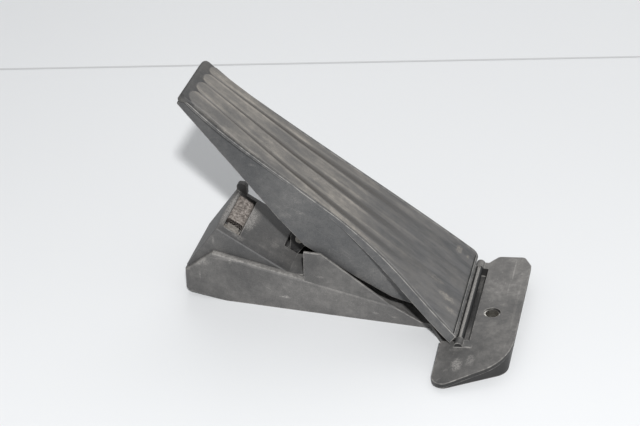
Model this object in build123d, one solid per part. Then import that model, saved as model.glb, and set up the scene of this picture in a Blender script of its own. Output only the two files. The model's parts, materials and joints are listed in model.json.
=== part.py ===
from build123d import *
import os
from math import asin, atan2, cos, degrees, hypot, radians, sin, tan

# A floor-hinged accelerator pedal. All sizes are in millimetres and all angles in degrees.
# It is drawn from the hinge axis (x = 0), the tray's near wall (y = 0) and the floor (z = 0),
# with +X towards the driver's heel. At the end it is moved so that its origin is the centre of
# the bolt hole on the underside.

# How far a cutter reaches past what it cuts
OVER = 1.0

# Bolt hole in the foot plate
BOLT_X = 15.9
BOLT_Y = 10.6
BOLT_HOLE_D = 8.6
SLEEVE_WALL = 1.0
SLEEVE_SINK = 0.5

# Hinge
HINGE_Z = 9.3
PIN_D = 2.6
PIN_PLAY = 0.05
PIN_BEVEL = 0.4
BARREL_D = 5.0
LUG_R = 2.9
LUG_LENGTH = 7.0
LUG_END = 2.0
NEAR_LUG_Y = -27.6
FAR_LUG_OUT = 4.8
LUG_PLAY = 0.4

# Pedal, with s measured from the hinge axis up the pad and w square to the pad
PEDAL_ANGLE = 35.0
PEDAL_TRAVEL = 10.0
HEEL_S = 5.4
PAD_LENGTH = 225.0
PAD_TOP = 5.1
TREAD_T = 2.5
TREAD_GAP = 0.3
TREAD_BEVEL = 0.8
TREAD_CORNER_R = 4.0
NOSE_L = 8.0
NOSE_R = 9.0
GROOVE_DEPTH = 0.9
GROOVE_RUN_OUT = 0.05
GROOVE_TIP_FLOOR = 1.2
GROOVE_HEEL_FLOOR = 8.0
GROOVE_TIP_LEAN = 1.3
GROOVE_HEEL_LEAN = 8.0
GROOVE_END_S = 38.0
GROOVES_HEEL_Y = (2.0, 28.0, 54.0)
GROOVES_TIP_Y = (23.5, 36.0, 47.5)
RIM_DROP = 0.5
RIM_W = 1.6
BEAD = 0.5
WING_T_TIP = 1.6
WING_T_MID = 5.2
WING_T_HEEL = 6.6
WING_TIP_S = 140.0
WING_MID_S = 85.0
TIP_NEAR_Y = 9.7
TIP_FAR_IN = 4.2
WAIST_NEAR_Y = 2.0
WAIST_S = 100.0
FLARE_S = 65.0
FLARE_SHARE = 0.23
SWELL_S = 32.0
SWELL_SHARE = 0.67
BEND_S = 153.0
BEND_STEP = 0.9
BEND_FAR_SHARE = 0.79
TAPER_S = 72.0
TAPER_SHARE = 0.26
HEEL_NEAR_Y = -26.8
HEEL_FAR_OUT = 6.2
TIP_CORNER_R = 6.0
HEEL_CORNER_R = 5.5
DECK_T = 2.4
SKIRT_T = 2.4
SKIRT_DRAFT = 5.0
SKIRT_BEND_S = 135.0
SKIRT_END_S = 14.0
SKIRT_TIP_W = -2.0
KNEE_S = 110.0
KNEE_W = -29.3
BELLY_S = 70.0
HIP_S = 44.0
HIP_W = -21.0
RUMP_S = 20.0
RIB_T = 1.8
RIB_W = -8.0
RIB_END = 4.0
RIB_RUN_OUT = 41.0
CROSS_RIBS = 7
LAST_RIB_S = 208.0
LONG_RIB_NEAR_Y = 22.8
LONG_RIB_FAR_IN = 19.0
HEEL_WEB = 6.0
HEEL_WEB_T = 1.6

# Tray, a single moulding with the foot plate
TRAY_WIDTH = 63.2
WALL = 2.2
FLOOR_RIB = 1.6
FLOOR_T = 2.2
TRAY_END_X = -188.5
TRAY_CORNER_R = 6.0
TRAY_RISE_X = -160.0
TRAY_RISE_Z = 5.0
TRAY_END_Z = 18.6
RIM_HIGH_X = -168.0
RIM_HIGH_Z = 36.0
RIM_LOW_Z = 24.6
LEDGE_W = 4.8
LEDGE_T = 3.0
LEDGE_R = 1.8
LEDGE_LAP = 0.1
GUSSET_X = -106.4
GUSSET_Z = 46.1
GUSSET_FLAT = 11.2
GUSSET_TOE_X = -22.4
GUSSET_STEP = 0.5
GUSSET_RUN = 25.6
GUSSET_CHIN_X = 9.0
GUSSET_CHIN_Z = 9.6
TOE_Z = 0.8
TOE_LAP = 6.0
FLOOR_COLUMNS = 6
FLOOR_ROWS = 3

# Foot plate
FOOT_INNER_X = 6.1
FOOT_OUTER_X = 34.0
FOOT_LOBE_X = -11.9
FOOT_FAR_OUT = 12.8
FOOT_NEAR_Y = -66.3
FOOT_CORNER_Y = -36.5
FOOT_SPLIT_Y = -22.5
FOOT_INNER_Z = 10.3
FOOT_OUTER_Z = 13.5
FOOT_BEND = 7.0
FOOT_LIP = 3.0
FOOT_INSET = 1.2
FOOT_WALL = 2.4
FOOT_TOE_R = 7.0
FOOT_TOP_R = 34.0
FOOT_BASE_R = 14.0
FOOT_FAR_R = 3.5
FOOT_FAR_CUT = 10.0
FOOT_FAR_SLANT = 5.5
FOOT_EAR_X = 5.2
FOOT_EAR_DROP = 9.0
FOOT_EAR_BULGE = 1.6
FOOT_EAR_L = 13.0
FOOT_RIBS_Y = (-32.5, -14.0, 32.0, 54.0)
NECK_NEAR = 8.0
NECK_FAR = 7.0
NECK_LAP = 2.0

# Cover of the sensor chamber
COVER_GAP = 0.3
COVER_T = 2.4
COVER_TOP_X = -166.0
COVER_TOP_Z = 53.1
SHELF_X = -117.6
SHELF_Z = 25.4
SHELF_END_X = -103.4
COVER_EDGE_R = 1.2
COVER_SILL = 0.8
COVER_LUG_L = 7.0
COVER_LUG_H = 5.0
COVER_LUG_T = 4.0
COVER_LUG_R = 2.2

# Full-travel stop in the cover's slot
SLOT_NEAR_IN = 6.4
SLOT_FAR_IN = 4.1
SLOT_W = 12.5
SLOT_DEPTH = 6.0
SLOT_START = 3.5
SLOT_WALL = 1.6
STOP_SPACE = 4.5
BUFFER_PROUD = -0.8
CLIP_L = 8.5
CLIP_FOOT_T = 2.0
CLIP_SIDE = 2.2
CLIP_TONGUE_L = 6.8
CLIP_SINK = 0.6
STOP_FIT = 0.25
STOP_LEG_FLARE = 3.0
STOP_GAP = 0.5
STOP_LEG_T = 6.0
STOP_LEG_W = 10.0

# Sensor lever
LEVER_IN = 26.6
SHAFT_X = -151.0
SHAFT_Z = 22.0
SHAFT_D = 5.0
SHAFT_PLAY = 0.04
ROLLER_X = -116.5
ROLLER_Z = 36.0
ROLLER_R = 4.5
ROLLER_W = 5.6
ROLLER_PIN_D = 3.0
ROLLER_PLAY = 0.04
ROLLER_GAP = 0.45
PIN_HEAD_D = 5.4
PIN_HEAD_T = 0.9
FORK_R = 6.2
FORK_T = 3.2
FORK_LEAN = 16.0
FORK_PLAY = 0.4
LEG_T = 6.0
LEG_WALL = 2.6
LEG_FLARE_TIP = 12.0
LEG_FLARE_HEEL = 5.0
LEG_WAIST = 2.5
ARM_DEPTH = 7.0
HUB_R = 8.0
HUB_NECK = 0.85
CRANK_X = 4.1
CRANK_BEND = 2.0
CRANK_Z = 0.5
CRANK_SOLE = 1.5
SPIGOT_R = 5.4
OPENING_START_X = -126.6
OPENING_PLAY = 0.7
OPENING_WALL = 1.8
OPENING_DEPTH = 4.0

# Shaft bearings, springs and sensor
POST_T = 5.0
POST_W = 14.0
POST_GAP = 2.94
BUSH_WALL = 1.5
BUSH_FLANGE = 0.8
BUSH_RIM = 1.4
END_PLAY = 0.4
SHAFT_PROUD = 0.6
SPIGOT_PLAY = 0.3
SPRING_WIRE = 1.4
SPRING_GAP = 0.5
SPRING_STEPS = 14
SPRING_FOOT_GAP = 0.2
SPRING_SPACE = 0.5
SPRING_PITCH = 1.15 * SPRING_WIRE
WASHER_T = 0.8
WASHER_RIM = 1.0
WASHER_PLAY = 0.1
MAGNET_R = 5.0
MAGNET_T = 2.6
SENSOR_GAP = 0.9
BOARD_T = 1.6
BOARD_GAP_X = 1.4
BOARD_GAP_Z = 0.6
BOARD_POST = 3.6
CHIP_T = 1.2
CHIP_L = 6.0
CHIP_H = 5.0
LID_BACK = 2.0
LID_DROP = 3.0
LID_L = 54.0
LID_H = 24.0
LID_T = 2.4
LID_LAP = 5.6
LID_R = 3.0
LID_NOTCH = 0.6
SEAL_T = 0.6
SEAL_W = 2.0
SEAL_CORNER_R = 4.0
PLUG_L = 26.0
PLUG_H = 13.0
PLUG_DEPTH = 13.0
PLUG_WALL = 1.6
PLUG_BACK = 6.0
PLUG_R = 3.0
LATCH_L = 6.0
LATCH_H = 1.4
LATCH_SINK = 0.4
LATCH_REACH = 9.1
TERMINAL = 1.0
TERMINALS = 6
TERMINAL_PITCH = 3.4
TERMINAL_PLAY = 0.05
TERMINAL_REACH = 9.1
SCREW_D = 2.6
SCREW_SIDES = 12
SCREW_HEAD_D = 5.4
SCREW_HEAD_T = 1.6
SCREW_PLAY = 0.05
SCREW_CLEAR = 0.25
SCREW_SEAT = 1.2
SCREW_RIM = 0.2
SCREW_TIP_GAP = 1.0
COVER_SCREW_NEAR = 4.0
COVER_SCREW_FAR = 9.0
BOSS_D = 7.0
BOSS_Z = 17.0
BOSS_CAP = 2.0
BOSS_LAP = 0.6
BOSS_WALL = 1.6
REST_BUFFER_D = 7.0
REST_BUFFER_X = -135.0
REST_BUFFER_L = 3.0

FLOOR_TOP = FLOOR_RIB + FLOOR_T
FORK_W = LEG_T + 2 * FORK_PLAY + 2 * FORK_T
HUB_W = FORK_W
TIP_S = HEEL_S + PAD_LENGTH
DECK_TOP = PAD_TOP - TREAD_T
RIM_TOP = PAD_TOP - RIM_DROP
PAD_SLOPE = tan(radians(PEDAL_ANGLE))
COVER_NEAR_Y = LEDGE_W + COVER_GAP
COVER_FAR_Y = TRAY_WIDTH - LEDGE_W - COVER_GAP
SLOPE = degrees(atan2(COVER_TOP_Z - SHELF_Z, SHELF_X - COVER_TOP_X))
END_RIM_SLOPE = (RIM_HIGH_Z - TRAY_END_Z) / (RIM_HIGH_X - TRAY_END_X)
FOOT_TILT = degrees(atan2(FOOT_OUTER_Z - FOOT_INNER_Z, FOOT_OUTER_X - FOOT_INNER_X))

# Places set from the tray's width
TIP_FAR_Y = TRAY_WIDTH - TIP_FAR_IN
HEEL_FAR_Y = TRAY_WIDTH + HEEL_FAR_OUT
LONG_RIB_FAR_Y = TRAY_WIDTH - LONG_RIB_FAR_IN
FAR_LUG_Y = TRAY_WIDTH + FAR_LUG_OUT
FOOT_FAR_Y = TRAY_WIDTH + FOOT_FAR_OUT
LEVER_Y = TRAY_WIDTH - LEVER_IN
SLOT_NEAR_Y = COVER_NEAR_Y + SLOT_NEAR_IN
SLOT_FAR_Y = COVER_FAR_Y - SLOT_FAR_IN
BUFFER_L = SLOT_FAR_Y - SLOT_NEAR_Y - CLIP_L - STOP_SPACE - 2 * STOP_FIT

# The lid, the board and the socket follow the lever's shaft
LID_X = SHAFT_X - LID_BACK
LID_Z = SHAFT_Z - LID_DROP
PLUG_X = LID_X - PLUG_BACK
BOARD_L = LID_L - 2 * (LID_LAP + BOARD_GAP_X)
BOARD_H = LID_H - 2 * (LID_LAP + BOARD_GAP_Z)


# Helpers

def face_of(points):
    """A flat face with straight edges, in the sketch plane."""
    return make_face(Polyline(*points, close=True))


def slab_y(face, low_y, high_y):
    """A face drawn as (x, z), thickened between two y values."""
    return extrude(Plane.XZ.offset(-high_y) * face, high_y - low_y)


def block(low, high):
    """A box between two corners."""
    size = [b - a for a, b in zip(low, high)]
    return Pos(*low) * Box(*size, align=(Align.MIN, Align.MIN, Align.MIN))


def bar_z(radius, length, sides):
    """A bar that stands on the sketch plane: round, or with flat sides where a number of them is given."""
    if sides:
        return extrude(RegularPolygon(radius, sides), length)
    return Cylinder(radius, length, align=(Align.CENTER, Align.CENTER, Align.MIN))


def rod_y(radius, x, z, low_y, high_y, sides=0):
    """A bar along Y."""
    return Pos(x, low_y, z) * Rot(-90, 0, 0) * bar_z(radius, high_y - low_y, sides)


def rod_z(radius, x, y, low_z, high_z, sides=0):
    """A bar along Z."""
    return Pos(x, y, low_z) * bar_z(radius, high_z - low_z, sides)


def pedal_points(points):
    """Points (s, w) of the pedal as (x, z) of the pedal lying flat."""
    return [(-s, w) for s, w in points]


def on_pedal(x, z, angle):
    """Where a point of the tray lies on the pedal, as (s, w), with the pad at an angle."""
    a = radians(angle)
    rise = z - HINGE_Z
    return (-x * cos(a) + rise * sin(a), x * sin(a) + rise * cos(a))


def raise_pedal(part):
    """Tilt a part drawn with the pedal flat to the rest angle."""
    return Pos(0, 0, HINGE_Z) * Rot(0, PEDAL_ANGLE, 0) * part


def mirror_tray(part):
    """The same part on the other side of the tray's middle plane."""
    return mirror(part, Plane.XZ.offset(-TRAY_WIDTH / 2))


# Motion of the sensor lever

LEVER_L = hypot(ROLLER_X - SHAFT_X, ROLLER_Z - SHAFT_Z)
LEVER_REST = degrees(atan2(ROLLER_Z - SHAFT_Z, ROLLER_X - SHAFT_X))


def lever_end(pedal_turn):
    """The lever's angle for a turn of the pedal, in proportion to that turn."""
    reach = hypot(ROLLER_X, ROLLER_Z - HINGE_Z)
    start = degrees(atan2(ROLLER_Z - HINGE_Z, -ROLLER_X))
    low_z = HINGE_Z + reach * sin(radians(start - PEDAL_TRAVEL))
    last = degrees(asin((low_z - SHAFT_Z) / LEVER_L))
    return LEVER_REST - (LEVER_REST - last) * pedal_turn / PEDAL_TRAVEL


def roller_path(pedal_turn):
    """The roller's centre on the pedal, as (s, w), for a turn of the pedal."""
    a = radians(lever_end(pedal_turn))
    x = SHAFT_X + LEVER_L * cos(a)
    z = SHAFT_Z + LEVER_L * sin(a)
    return on_pedal(x, z, PEDAL_ANGLE - pedal_turn)


LEVER_RATIO = (LEVER_REST - lever_end(PEDAL_TRAVEL)) / PEDAL_TRAVEL


# Pedal

def pad_outline(inset, tip_cut=0.0, corner_r=TIP_CORNER_R):
    """The pad's outline seen square to it, a taper that flares at the near heel.

    It is drawn in by an inset at the sides and the heel, and cut short at the tip.
    """
    tip_x = -TIP_S + tip_cut
    cut_share = tip_cut / (TIP_S - BEND_S)
    waist = WAIST_NEAR_Y + inset
    bend_near = waist + BEND_STEP
    tip_near = TIP_NEAR_Y + inset + (bend_near - TIP_NEAR_Y - inset) * cut_share
    heel_near = HEEL_NEAR_Y + inset
    heel_far = HEEL_FAR_Y - inset
    bend_far = heel_far + (TIP_FAR_Y - inset - heel_far) * BEND_FAR_SHARE
    tip_far = TIP_FAR_Y - inset + (bend_far - TIP_FAR_Y + inset) * cut_share
    heel_x = -HEEL_S - inset
    near = Spline(
        (tip_x, tip_near),
        (-BEND_S, bend_near),
        (-WAIST_S, waist),
        (-FLARE_S, waist + (heel_near - waist) * FLARE_SHARE),
        (-SWELL_S, waist + (heel_near - waist) * SWELL_SHARE),
        (heel_x, heel_near),
    )
    heel = Line((heel_x, heel_near), (heel_x, heel_far))
    far = Spline(
        (heel_x, heel_far),
        (-TAPER_S, heel_far + (TIP_FAR_Y - inset - heel_far) * TAPER_SHARE),
        (-BEND_S, bend_far),
        (tip_x, tip_far),
    )
    tip = Line((tip_x, tip_far), (tip_x, tip_near))
    face = make_face([near, heel, far, tip])
    tip_corners = face.vertices().group_by(Axis.X)[0]
    face = fillet(tip_corners, corner_r - inset)
    far_heel = face.vertices().group_by(Axis.X)[-1].sort_by(Axis.Y)[-1]
    return fillet(far_heel, HEEL_CORNER_R - inset)


def skirt_outline(inset):
    """The hollow body's outline under the pad: narrow at the tip, straight along the tray."""
    near_y = WAIST_NEAR_Y + BEAD + inset
    far_y = TRAY_WIDTH - near_y
    return face_of([
        (-TIP_S + inset, TIP_NEAR_Y + BEAD + inset),
        (-SKIRT_BEND_S, near_y),
        (-SKIRT_END_S, near_y),
        (-SKIRT_END_S, far_y),
        (-SKIRT_BEND_S, far_y),
        (-TIP_S + inset, TIP_FAR_Y - BEAD - inset),
    ])


def skirt_body(inset, top):
    """The body under the pad as a drafted block, from a top level downwards."""
    lowest = top - KNEE_W * 2
    return Pos(0, 0, top) * extrude(skirt_outline(inset), lowest, dir=(0, 0, -1), taper=SKIRT_DRAFT)


def side_cut(points):
    """A slab across the whole pedal with a given (s, w) outline."""
    return slab_y(face_of(pedal_points(points)), HEEL_NEAR_Y - OVER, HEEL_FAR_Y + OVER)


def wing_block():
    """The pad's plate: a thin bead along the tip half that deepens into a wing at the heel."""
    end_x = -TIP_S - OVER
    heel_low = RIM_TOP - WING_T_HEEL
    tip_low = RIM_TOP - WING_T_TIP
    upper = Polyline((-WING_TIP_S, tip_low), (end_x, tip_low), (end_x, RIM_TOP), (0, RIM_TOP), (0, heel_low))
    middle = (-WING_MID_S, RIM_TOP - WING_T_MID)
    lower = Spline((0, heel_low), middle, (-WING_TIP_S, tip_low), tangents=[(-1, 0), (-1, 0)])
    return slab_y(make_face([upper, lower]), HEEL_NEAR_Y - OVER, HEEL_FAR_Y + OVER)


def tread_bed(gap):
    """The block that the tread fills, drawn in by a gap: it ends before the nose."""
    return Pos(0, 0, DECK_TOP) * extrude(pad_outline(RIM_W + gap, NOSE_L + gap, TREAD_CORNER_R), TREAD_T)


def nose_waste():
    """What is cut from the pad's tip: the corners in plan and all above its round nose."""
    start_x = -TIP_S + NOSE_L
    turn = asin(NOSE_L / NOSE_R)
    bends = [(NOSE_R * sin(a), NOSE_R * (1 - cos(a))) for a in (0, turn / 2, turn)]
    arc = ThreePointArc(*[(start_x - run, RIM_TOP - drop) for run, drop in bends])
    far_x = -TIP_S - NOSE_L
    above = Polyline(arc @ 1, (far_x, (arc @ 1).Y), (far_x, PAD_TOP), (start_x, PAD_TOP), arc @ 0)
    roll = slab_y(make_face([arc, above]), HEEL_NEAR_Y, HEEL_FAR_Y)
    corners = block((far_x, HEEL_NEAR_Y, KNEE_W), (-TIP_S + TIP_CORNER_R, HEEL_FAR_Y, PAD_TOP))
    return roll + (corners - Pos(0, 0, KNEE_W) * extrude(pad_outline(0), PAD_TOP - KNEE_W))


def drive_leg():
    """The leg that drives the lever: its slot holds the roller over the whole travel."""
    path = [roller_path(PEDAL_TRAVEL * k / 2) for k in range(3)]
    low_y = LEVER_Y - LEG_T / 2
    high_y = LEVER_Y + LEG_T / 2
    (s0, w0), (s1, w1), (s2, w2) = path
    end_r = ROLLER_R + ROLLER_GAP + LEG_WALL
    heel_s = min(s1, s2)
    stem = face_of(pedal_points([
        (heel_s - LEG_FLARE_HEEL, DECK_TOP - DECK_T / 2),
        (s0 + LEG_FLARE_TIP, DECK_TOP - DECK_T / 2),
        (s0 + end_r, w0),
        (heel_s - LEG_WAIST, w1),
    ]))
    leg = slab_y(stem, low_y, high_y)
    hole = None
    for (sa, wa), (sb, wb) in zip(path[:-1], path[1:]):
        middle = Pos(-(sa + sb) / 2, (wa + wb) / 2)
        length = hypot(sb - sa, wb - wa)
        turn = degrees(atan2(wb - wa, sa - sb))
        outer = middle * SlotCenterToCenter(length, 2 * end_r, rotation=turn)
        inner = middle * SlotCenterToCenter(length, 2 * (ROLLER_R + ROLLER_GAP), rotation=turn)
        leg += slab_y(outer, low_y, high_y)
        cut = slab_y(inner, low_y - OVER, high_y + OVER)
        hole = cut if hole is None else hole + cut
    return leg, hole


def stop_leg():
    """The leg that lands on the stop buffer at full travel."""
    a = radians(SLOPE)
    along = SLOT_START + SLOT_W / 2
    lift = BUFFER_PROUD + STOP_GAP
    ends = []
    for side in (-1, 1):
        t = along + side * STOP_LEG_W / 2
        x = COVER_TOP_X + t * cos(a) + lift * sin(a)
        z = COVER_TOP_Z - t * sin(a) + lift * cos(a)
        ends.append(on_pedal(x, z, PEDAL_ANGLE - PEDAL_TRAVEL))
    (s0, w0), (s1, w1) = ends
    y = SLOT_FAR_Y - BUFFER_L / 2
    root_w = DECK_TOP - DECK_T / 2
    outline = face_of(pedal_points([
        (s0 + STOP_LEG_FLARE, root_w),
        (s1 - STOP_LEG_FLARE, root_w),
        (s1, w1),
        (s0, w0),
    ]))
    return slab_y(outline, y - STOP_LEG_T / 2, y + STOP_LEG_T / 2)


def pedal_ribs():
    """Stiffening ribs under the deck, across and along the pedal."""
    heel_s = SKIRT_END_S + RIB_END
    tip_s = TIP_S - RIB_END
    side_view = side_cut([
        (heel_s, DECK_TOP),
        (tip_s, DECK_TOP),
        (tip_s, DECK_TOP - DECK_T),
        (tip_s - RIB_RUN_OUT, RIB_W),
        (HIP_S, RIB_W),
        (heel_s, RIB_W / 2),
    ])
    pitch = (LAST_RIB_S - HIP_S) / (CROSS_RIBS - 1)
    spots = [HIP_S + pitch * k for k in range(CROSS_RIBS)]
    across = [block((-s - RIB_T / 2, 0, 2 * RIB_W), (-s + RIB_T / 2, TRAY_WIDTH, PAD_TOP)) for s in spots]
    lengthwise = [block((-TIP_S, y - RIB_T / 2, 2 * RIB_W), (0, y + RIB_T / 2, PAD_TOP))
                  for y in (LONG_RIB_NEAR_Y, LONG_RIB_FAR_Y)]
    ribs = lengthwise[0] + lengthwise[1:] + across
    return ribs & side_view & skirt_body(SKIRT_T / 2, DECK_TOP - DECK_T / 2)


def hinge_barrel():
    """The pedal's barrel round the hinge pin, with the web that joins it to the heel."""
    low_y = NEAR_LUG_Y + LUG_LENGTH + LUG_PLAY
    high_y = FAR_LUG_Y - LUG_LENGTH - LUG_PLAY
    barrel = rod_y(BARREL_D / 2, 0, 0, low_y, high_y)
    web_x = -HEEL_S - HEEL_WEB
    web_low = RIM_TOP - WING_T_HEEL
    web_top = web_low + HEEL_WEB_T
    web = face_of([(0, -BARREL_D / 2), (0, web_top), (web_x, web_top), (web_x, web_low)])
    return barrel + slab_y(web, low_y, high_y)


def pedal_carrier():
    """The hollow moulded pedal."""
    wing = Pos(0, 0, KNEE_W) * extrude(pad_outline(0), PAD_TOP - KNEE_W) & wing_block()
    lower_edge = side_cut([
        (SKIRT_END_S - OVER, RIM_TOP),
        (TIP_S + OVER, RIM_TOP),
        (TIP_S + OVER, SKIRT_TIP_W),
        (TIP_S, SKIRT_TIP_W),
        (KNEE_S, KNEE_W),
        (BELLY_S, (KNEE_W + HIP_W) / 2),
        (HIP_S, HIP_W),
        (RUMP_S, HIP_W / 2),
        (SKIRT_END_S - OVER, SKIRT_TIP_W),
    ])
    shell = skirt_body(0, RIM_TOP) - skirt_body(SKIRT_T, DECK_TOP - DECK_T)
    body = (shell & lower_edge) + wing + pedal_ribs()
    leg, hole = drive_leg()
    body = body + leg + stop_leg()
    body -= nose_waste()
    body -= tread_bed(0)
    body += hinge_barrel()
    body -= hole
    body -= rod_y(PIN_D / 2 + PIN_PLAY, 0, 0, NEAR_LUG_Y, FAR_LUG_Y)
    return raise_pedal(body)


def groove_y(k, s):
    """Place across the pad of one of the three grooves, which draw together towards the tip."""
    draw = (GROOVES_TIP_Y[k] - GROOVES_HEEL_Y[k]) / PAD_LENGTH
    return GROOVES_HEEL_Y[k] + draw * (s - HEEL_S)


def groove_section(k, s, floor, lean, depth):
    """One end of a groove, square to the pad's length: a floor and two sides that lean outwards."""
    y = groove_y(k, s)
    low = PAD_TOP - depth
    top = PAD_TOP + OVER
    half = floor / 2
    half_top = half + lean * (top - low)
    section = face_of([(y - half_top, top), (y - half, low), (y + half, low), (y + half_top, top)])
    return Plane.YZ.offset(-s) * section


def tread_groove(k):
    """A long wedge laid in the pad: a narrow groove at the tip that widens and runs out at the heel."""
    heel = groove_section(k, GROOVE_END_S, GROOVE_HEEL_FLOOR, GROOVE_HEEL_LEAN, -GROOVE_RUN_OUT)
    tip = groove_section(k, TIP_S, GROOVE_TIP_FLOOR, GROOVE_TIP_LEAN, GROOVE_DEPTH)
    return loft([heel, tip], ruled=True)


def pedal_tread():
    """The rubber tread: a bevelled edge, and four soft ribs that end side by side before the nose."""
    tread = tread_bed(TREAD_GAP)
    top_edges = tread.faces().sort_by(Axis.Z)[-1].edges()
    tread = chamfer(top_edges, TREAD_BEVEL)
    for k in range(len(GROOVES_TIP_Y)):
        tread -= tread_groove(k)
    return raise_pedal(tread)


# Tray and foot plate

def tray_plan(inset):
    """The tray's plan, rounded at the far end from the hinge."""
    face = face_of([
        (TRAY_END_X + inset, inset),
        (0, inset),
        (0, TRAY_WIDTH - inset),
        (TRAY_END_X + inset, TRAY_WIDTH - inset),
    ])
    return fillet(face.vertices().group_by(Axis.X)[0], TRAY_CORNER_R - inset)


def gusset_top(x):
    """Height of the gusset's sloping edge, which runs along the pedal's rest angle."""
    return GUSSET_Z - (x - GUSSET_X - GUSSET_FLAT) * PAD_SLOPE


def rim_z(x):
    """Height of the low wall's straight sloping rim."""
    fall = (RIM_HIGH_Z - RIM_LOW_Z) / (GUSSET_X - RIM_HIGH_X)
    return RIM_HIGH_Z - (x - RIM_HIGH_X) * fall


def tray_profile():
    """The low tray's side view: a raised far end, a sloping rim and a toe at the hinge."""
    bend_x = GUSSET_TOE_X - GUSSET_RUN
    return face_of([
        (GUSSET_TOE_X, 0),
        (GUSSET_TOE_X, TOE_Z),
        (bend_x, rim_z(bend_x)),
        (RIM_HIGH_X, RIM_HIGH_Z),
        (TRAY_END_X, TRAY_END_Z),
        (TRAY_END_X, TRAY_RISE_Z),
        (TRAY_RISE_X, 0),
    ])


def rounded_bar(low, high):
    """A bar as wide as the tray, with a round-edged top that runs along a line in (x, z)."""
    depth = -2 * TRAY_END_X
    length = 2 * depth
    dx = high[0] - low[0]
    dz = high[1] - low[1]
    section = RectangleRounded(TRAY_WIDTH + LEDGE_LAP, depth, LEDGE_R)
    along = Plane(origin=(low[0], TRAY_WIDTH / 2, low[1]), x_dir=(0, 1, 0), z_dir=(dx, 0, dz))
    top_is_up = 1 if (along.y_dir.Z > 0) else -1
    return extrude(along * Pos(0, -top_is_up * depth / 2) * section, length / 2, both=True)


def tray_solid():
    """The low tray before it is hollowed."""
    tray = extrude(tray_plan(0), GUSSET_Z) & slab_y(tray_profile(), -OVER, TRAY_WIDTH + OVER)
    rim_high = (RIM_HIGH_X, RIM_HIGH_Z)
    tray = tray & rounded_bar(rim_high, (GUSSET_X, RIM_LOW_Z))
    return tray & rounded_bar((TRAY_END_X, TRAY_END_Z), rim_high)


def floor_z(x):
    """Height of the tray's floor, which rises at the far end."""
    rise = max(TRAY_RISE_X - x, 0) / (TRAY_RISE_X - TRAY_END_X)
    return FLOOR_TOP + TRAY_RISE_Z * rise


def tray_hollow():
    """The inside of the tray, above its floor and under the ledges."""
    floor = face_of([
        (0, FLOOR_TOP),
        (TRAY_RISE_X, FLOOR_TOP),
        (TRAY_END_X, floor_z(TRAY_END_X)),
        (TRAY_END_X, GUSSET_Z),
        (0, GUSSET_Z),
    ])
    hollow = extrude(tray_plan(WALL), GUSSET_Z) & slab_y(floor, 0, TRAY_WIDTH)
    return hollow - ledge() - mirror_tray(ledge())


def ledge():
    """The wide rim along the top of the low near wall."""
    rim = face_of([
        (GUSSET_X, RIM_LOW_Z + OVER),
        (RIM_HIGH_X, RIM_HIGH_Z + OVER),
        (TRAY_END_X, TRAY_END_Z + OVER),
        (TRAY_END_X, TRAY_END_Z - LEDGE_T),
        (RIM_HIGH_X, RIM_HIGH_Z - LEDGE_T),
        (GUSSET_X, RIM_LOW_Z - LEDGE_T),
    ])
    return slab_y(rim, 0, LEDGE_W)


def gusset():
    """The near side's thin wall beside the pedal, set in a little from the low wall's face."""
    low_x = GUSSET_TOE_X - GUSSET_RUN
    wall = face_of([
        (GUSSET_X, FLOOR_RIB),
        (GUSSET_X, GUSSET_Z),
        (GUSSET_X + GUSSET_FLAT, GUSSET_Z),
        (low_x, gusset_top(low_x)),
        (low_x + GUSSET_CHIN_X, GUSSET_CHIN_Z),
        (GUSSET_TOE_X - TOE_LAP, FLOOR_RIB),
    ])
    return slab_y(wall, GUSSET_STEP, WALL)


def hinge_floor():
    """The floor under the hinge, from the tray to the foot plate, with the near neck."""
    return face_of([
        (GUSSET_TOE_X - TOE_LAP, 0),
        (GUSSET_TOE_X, 0),
        (FOOT_LOBE_X, FOOT_SPLIT_Y + NECK_FAR),
        (FOOT_LOBE_X, FOOT_SPLIT_Y - NECK_NEAR),
        (FOOT_INNER_X + NECK_LAP, FOOT_SPLIT_Y - NECK_NEAR),
        (FOOT_INNER_X + NECK_LAP, FAR_LUG_Y),
        (-LUG_R - TOE_LAP, FAR_LUG_Y),
        (GUSSET_TOE_X - TOE_LAP, TRAY_WIDTH),
    ])


def floor_pockets():
    """Shallow pockets that leave a grid of ribs under the floor."""
    start = TRAY_RISE_X
    end = GUSSET_TOE_X - TOE_LAP
    pitch_x = (end - start) / FLOOR_COLUMNS
    pitch_y = (TRAY_WIDTH - 2 * WALL) / FLOOR_ROWS
    middle = Pos((start + end) / 2, TRAY_WIDTH / 2, 0)
    cell = Box(pitch_x - RIB_T, pitch_y - RIB_T, 2 * FLOOR_RIB)
    return [middle * spot * cell for spot in GridLocations(pitch_x, pitch_y, FLOOR_COLUMNS, FLOOR_ROWS)]


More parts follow.
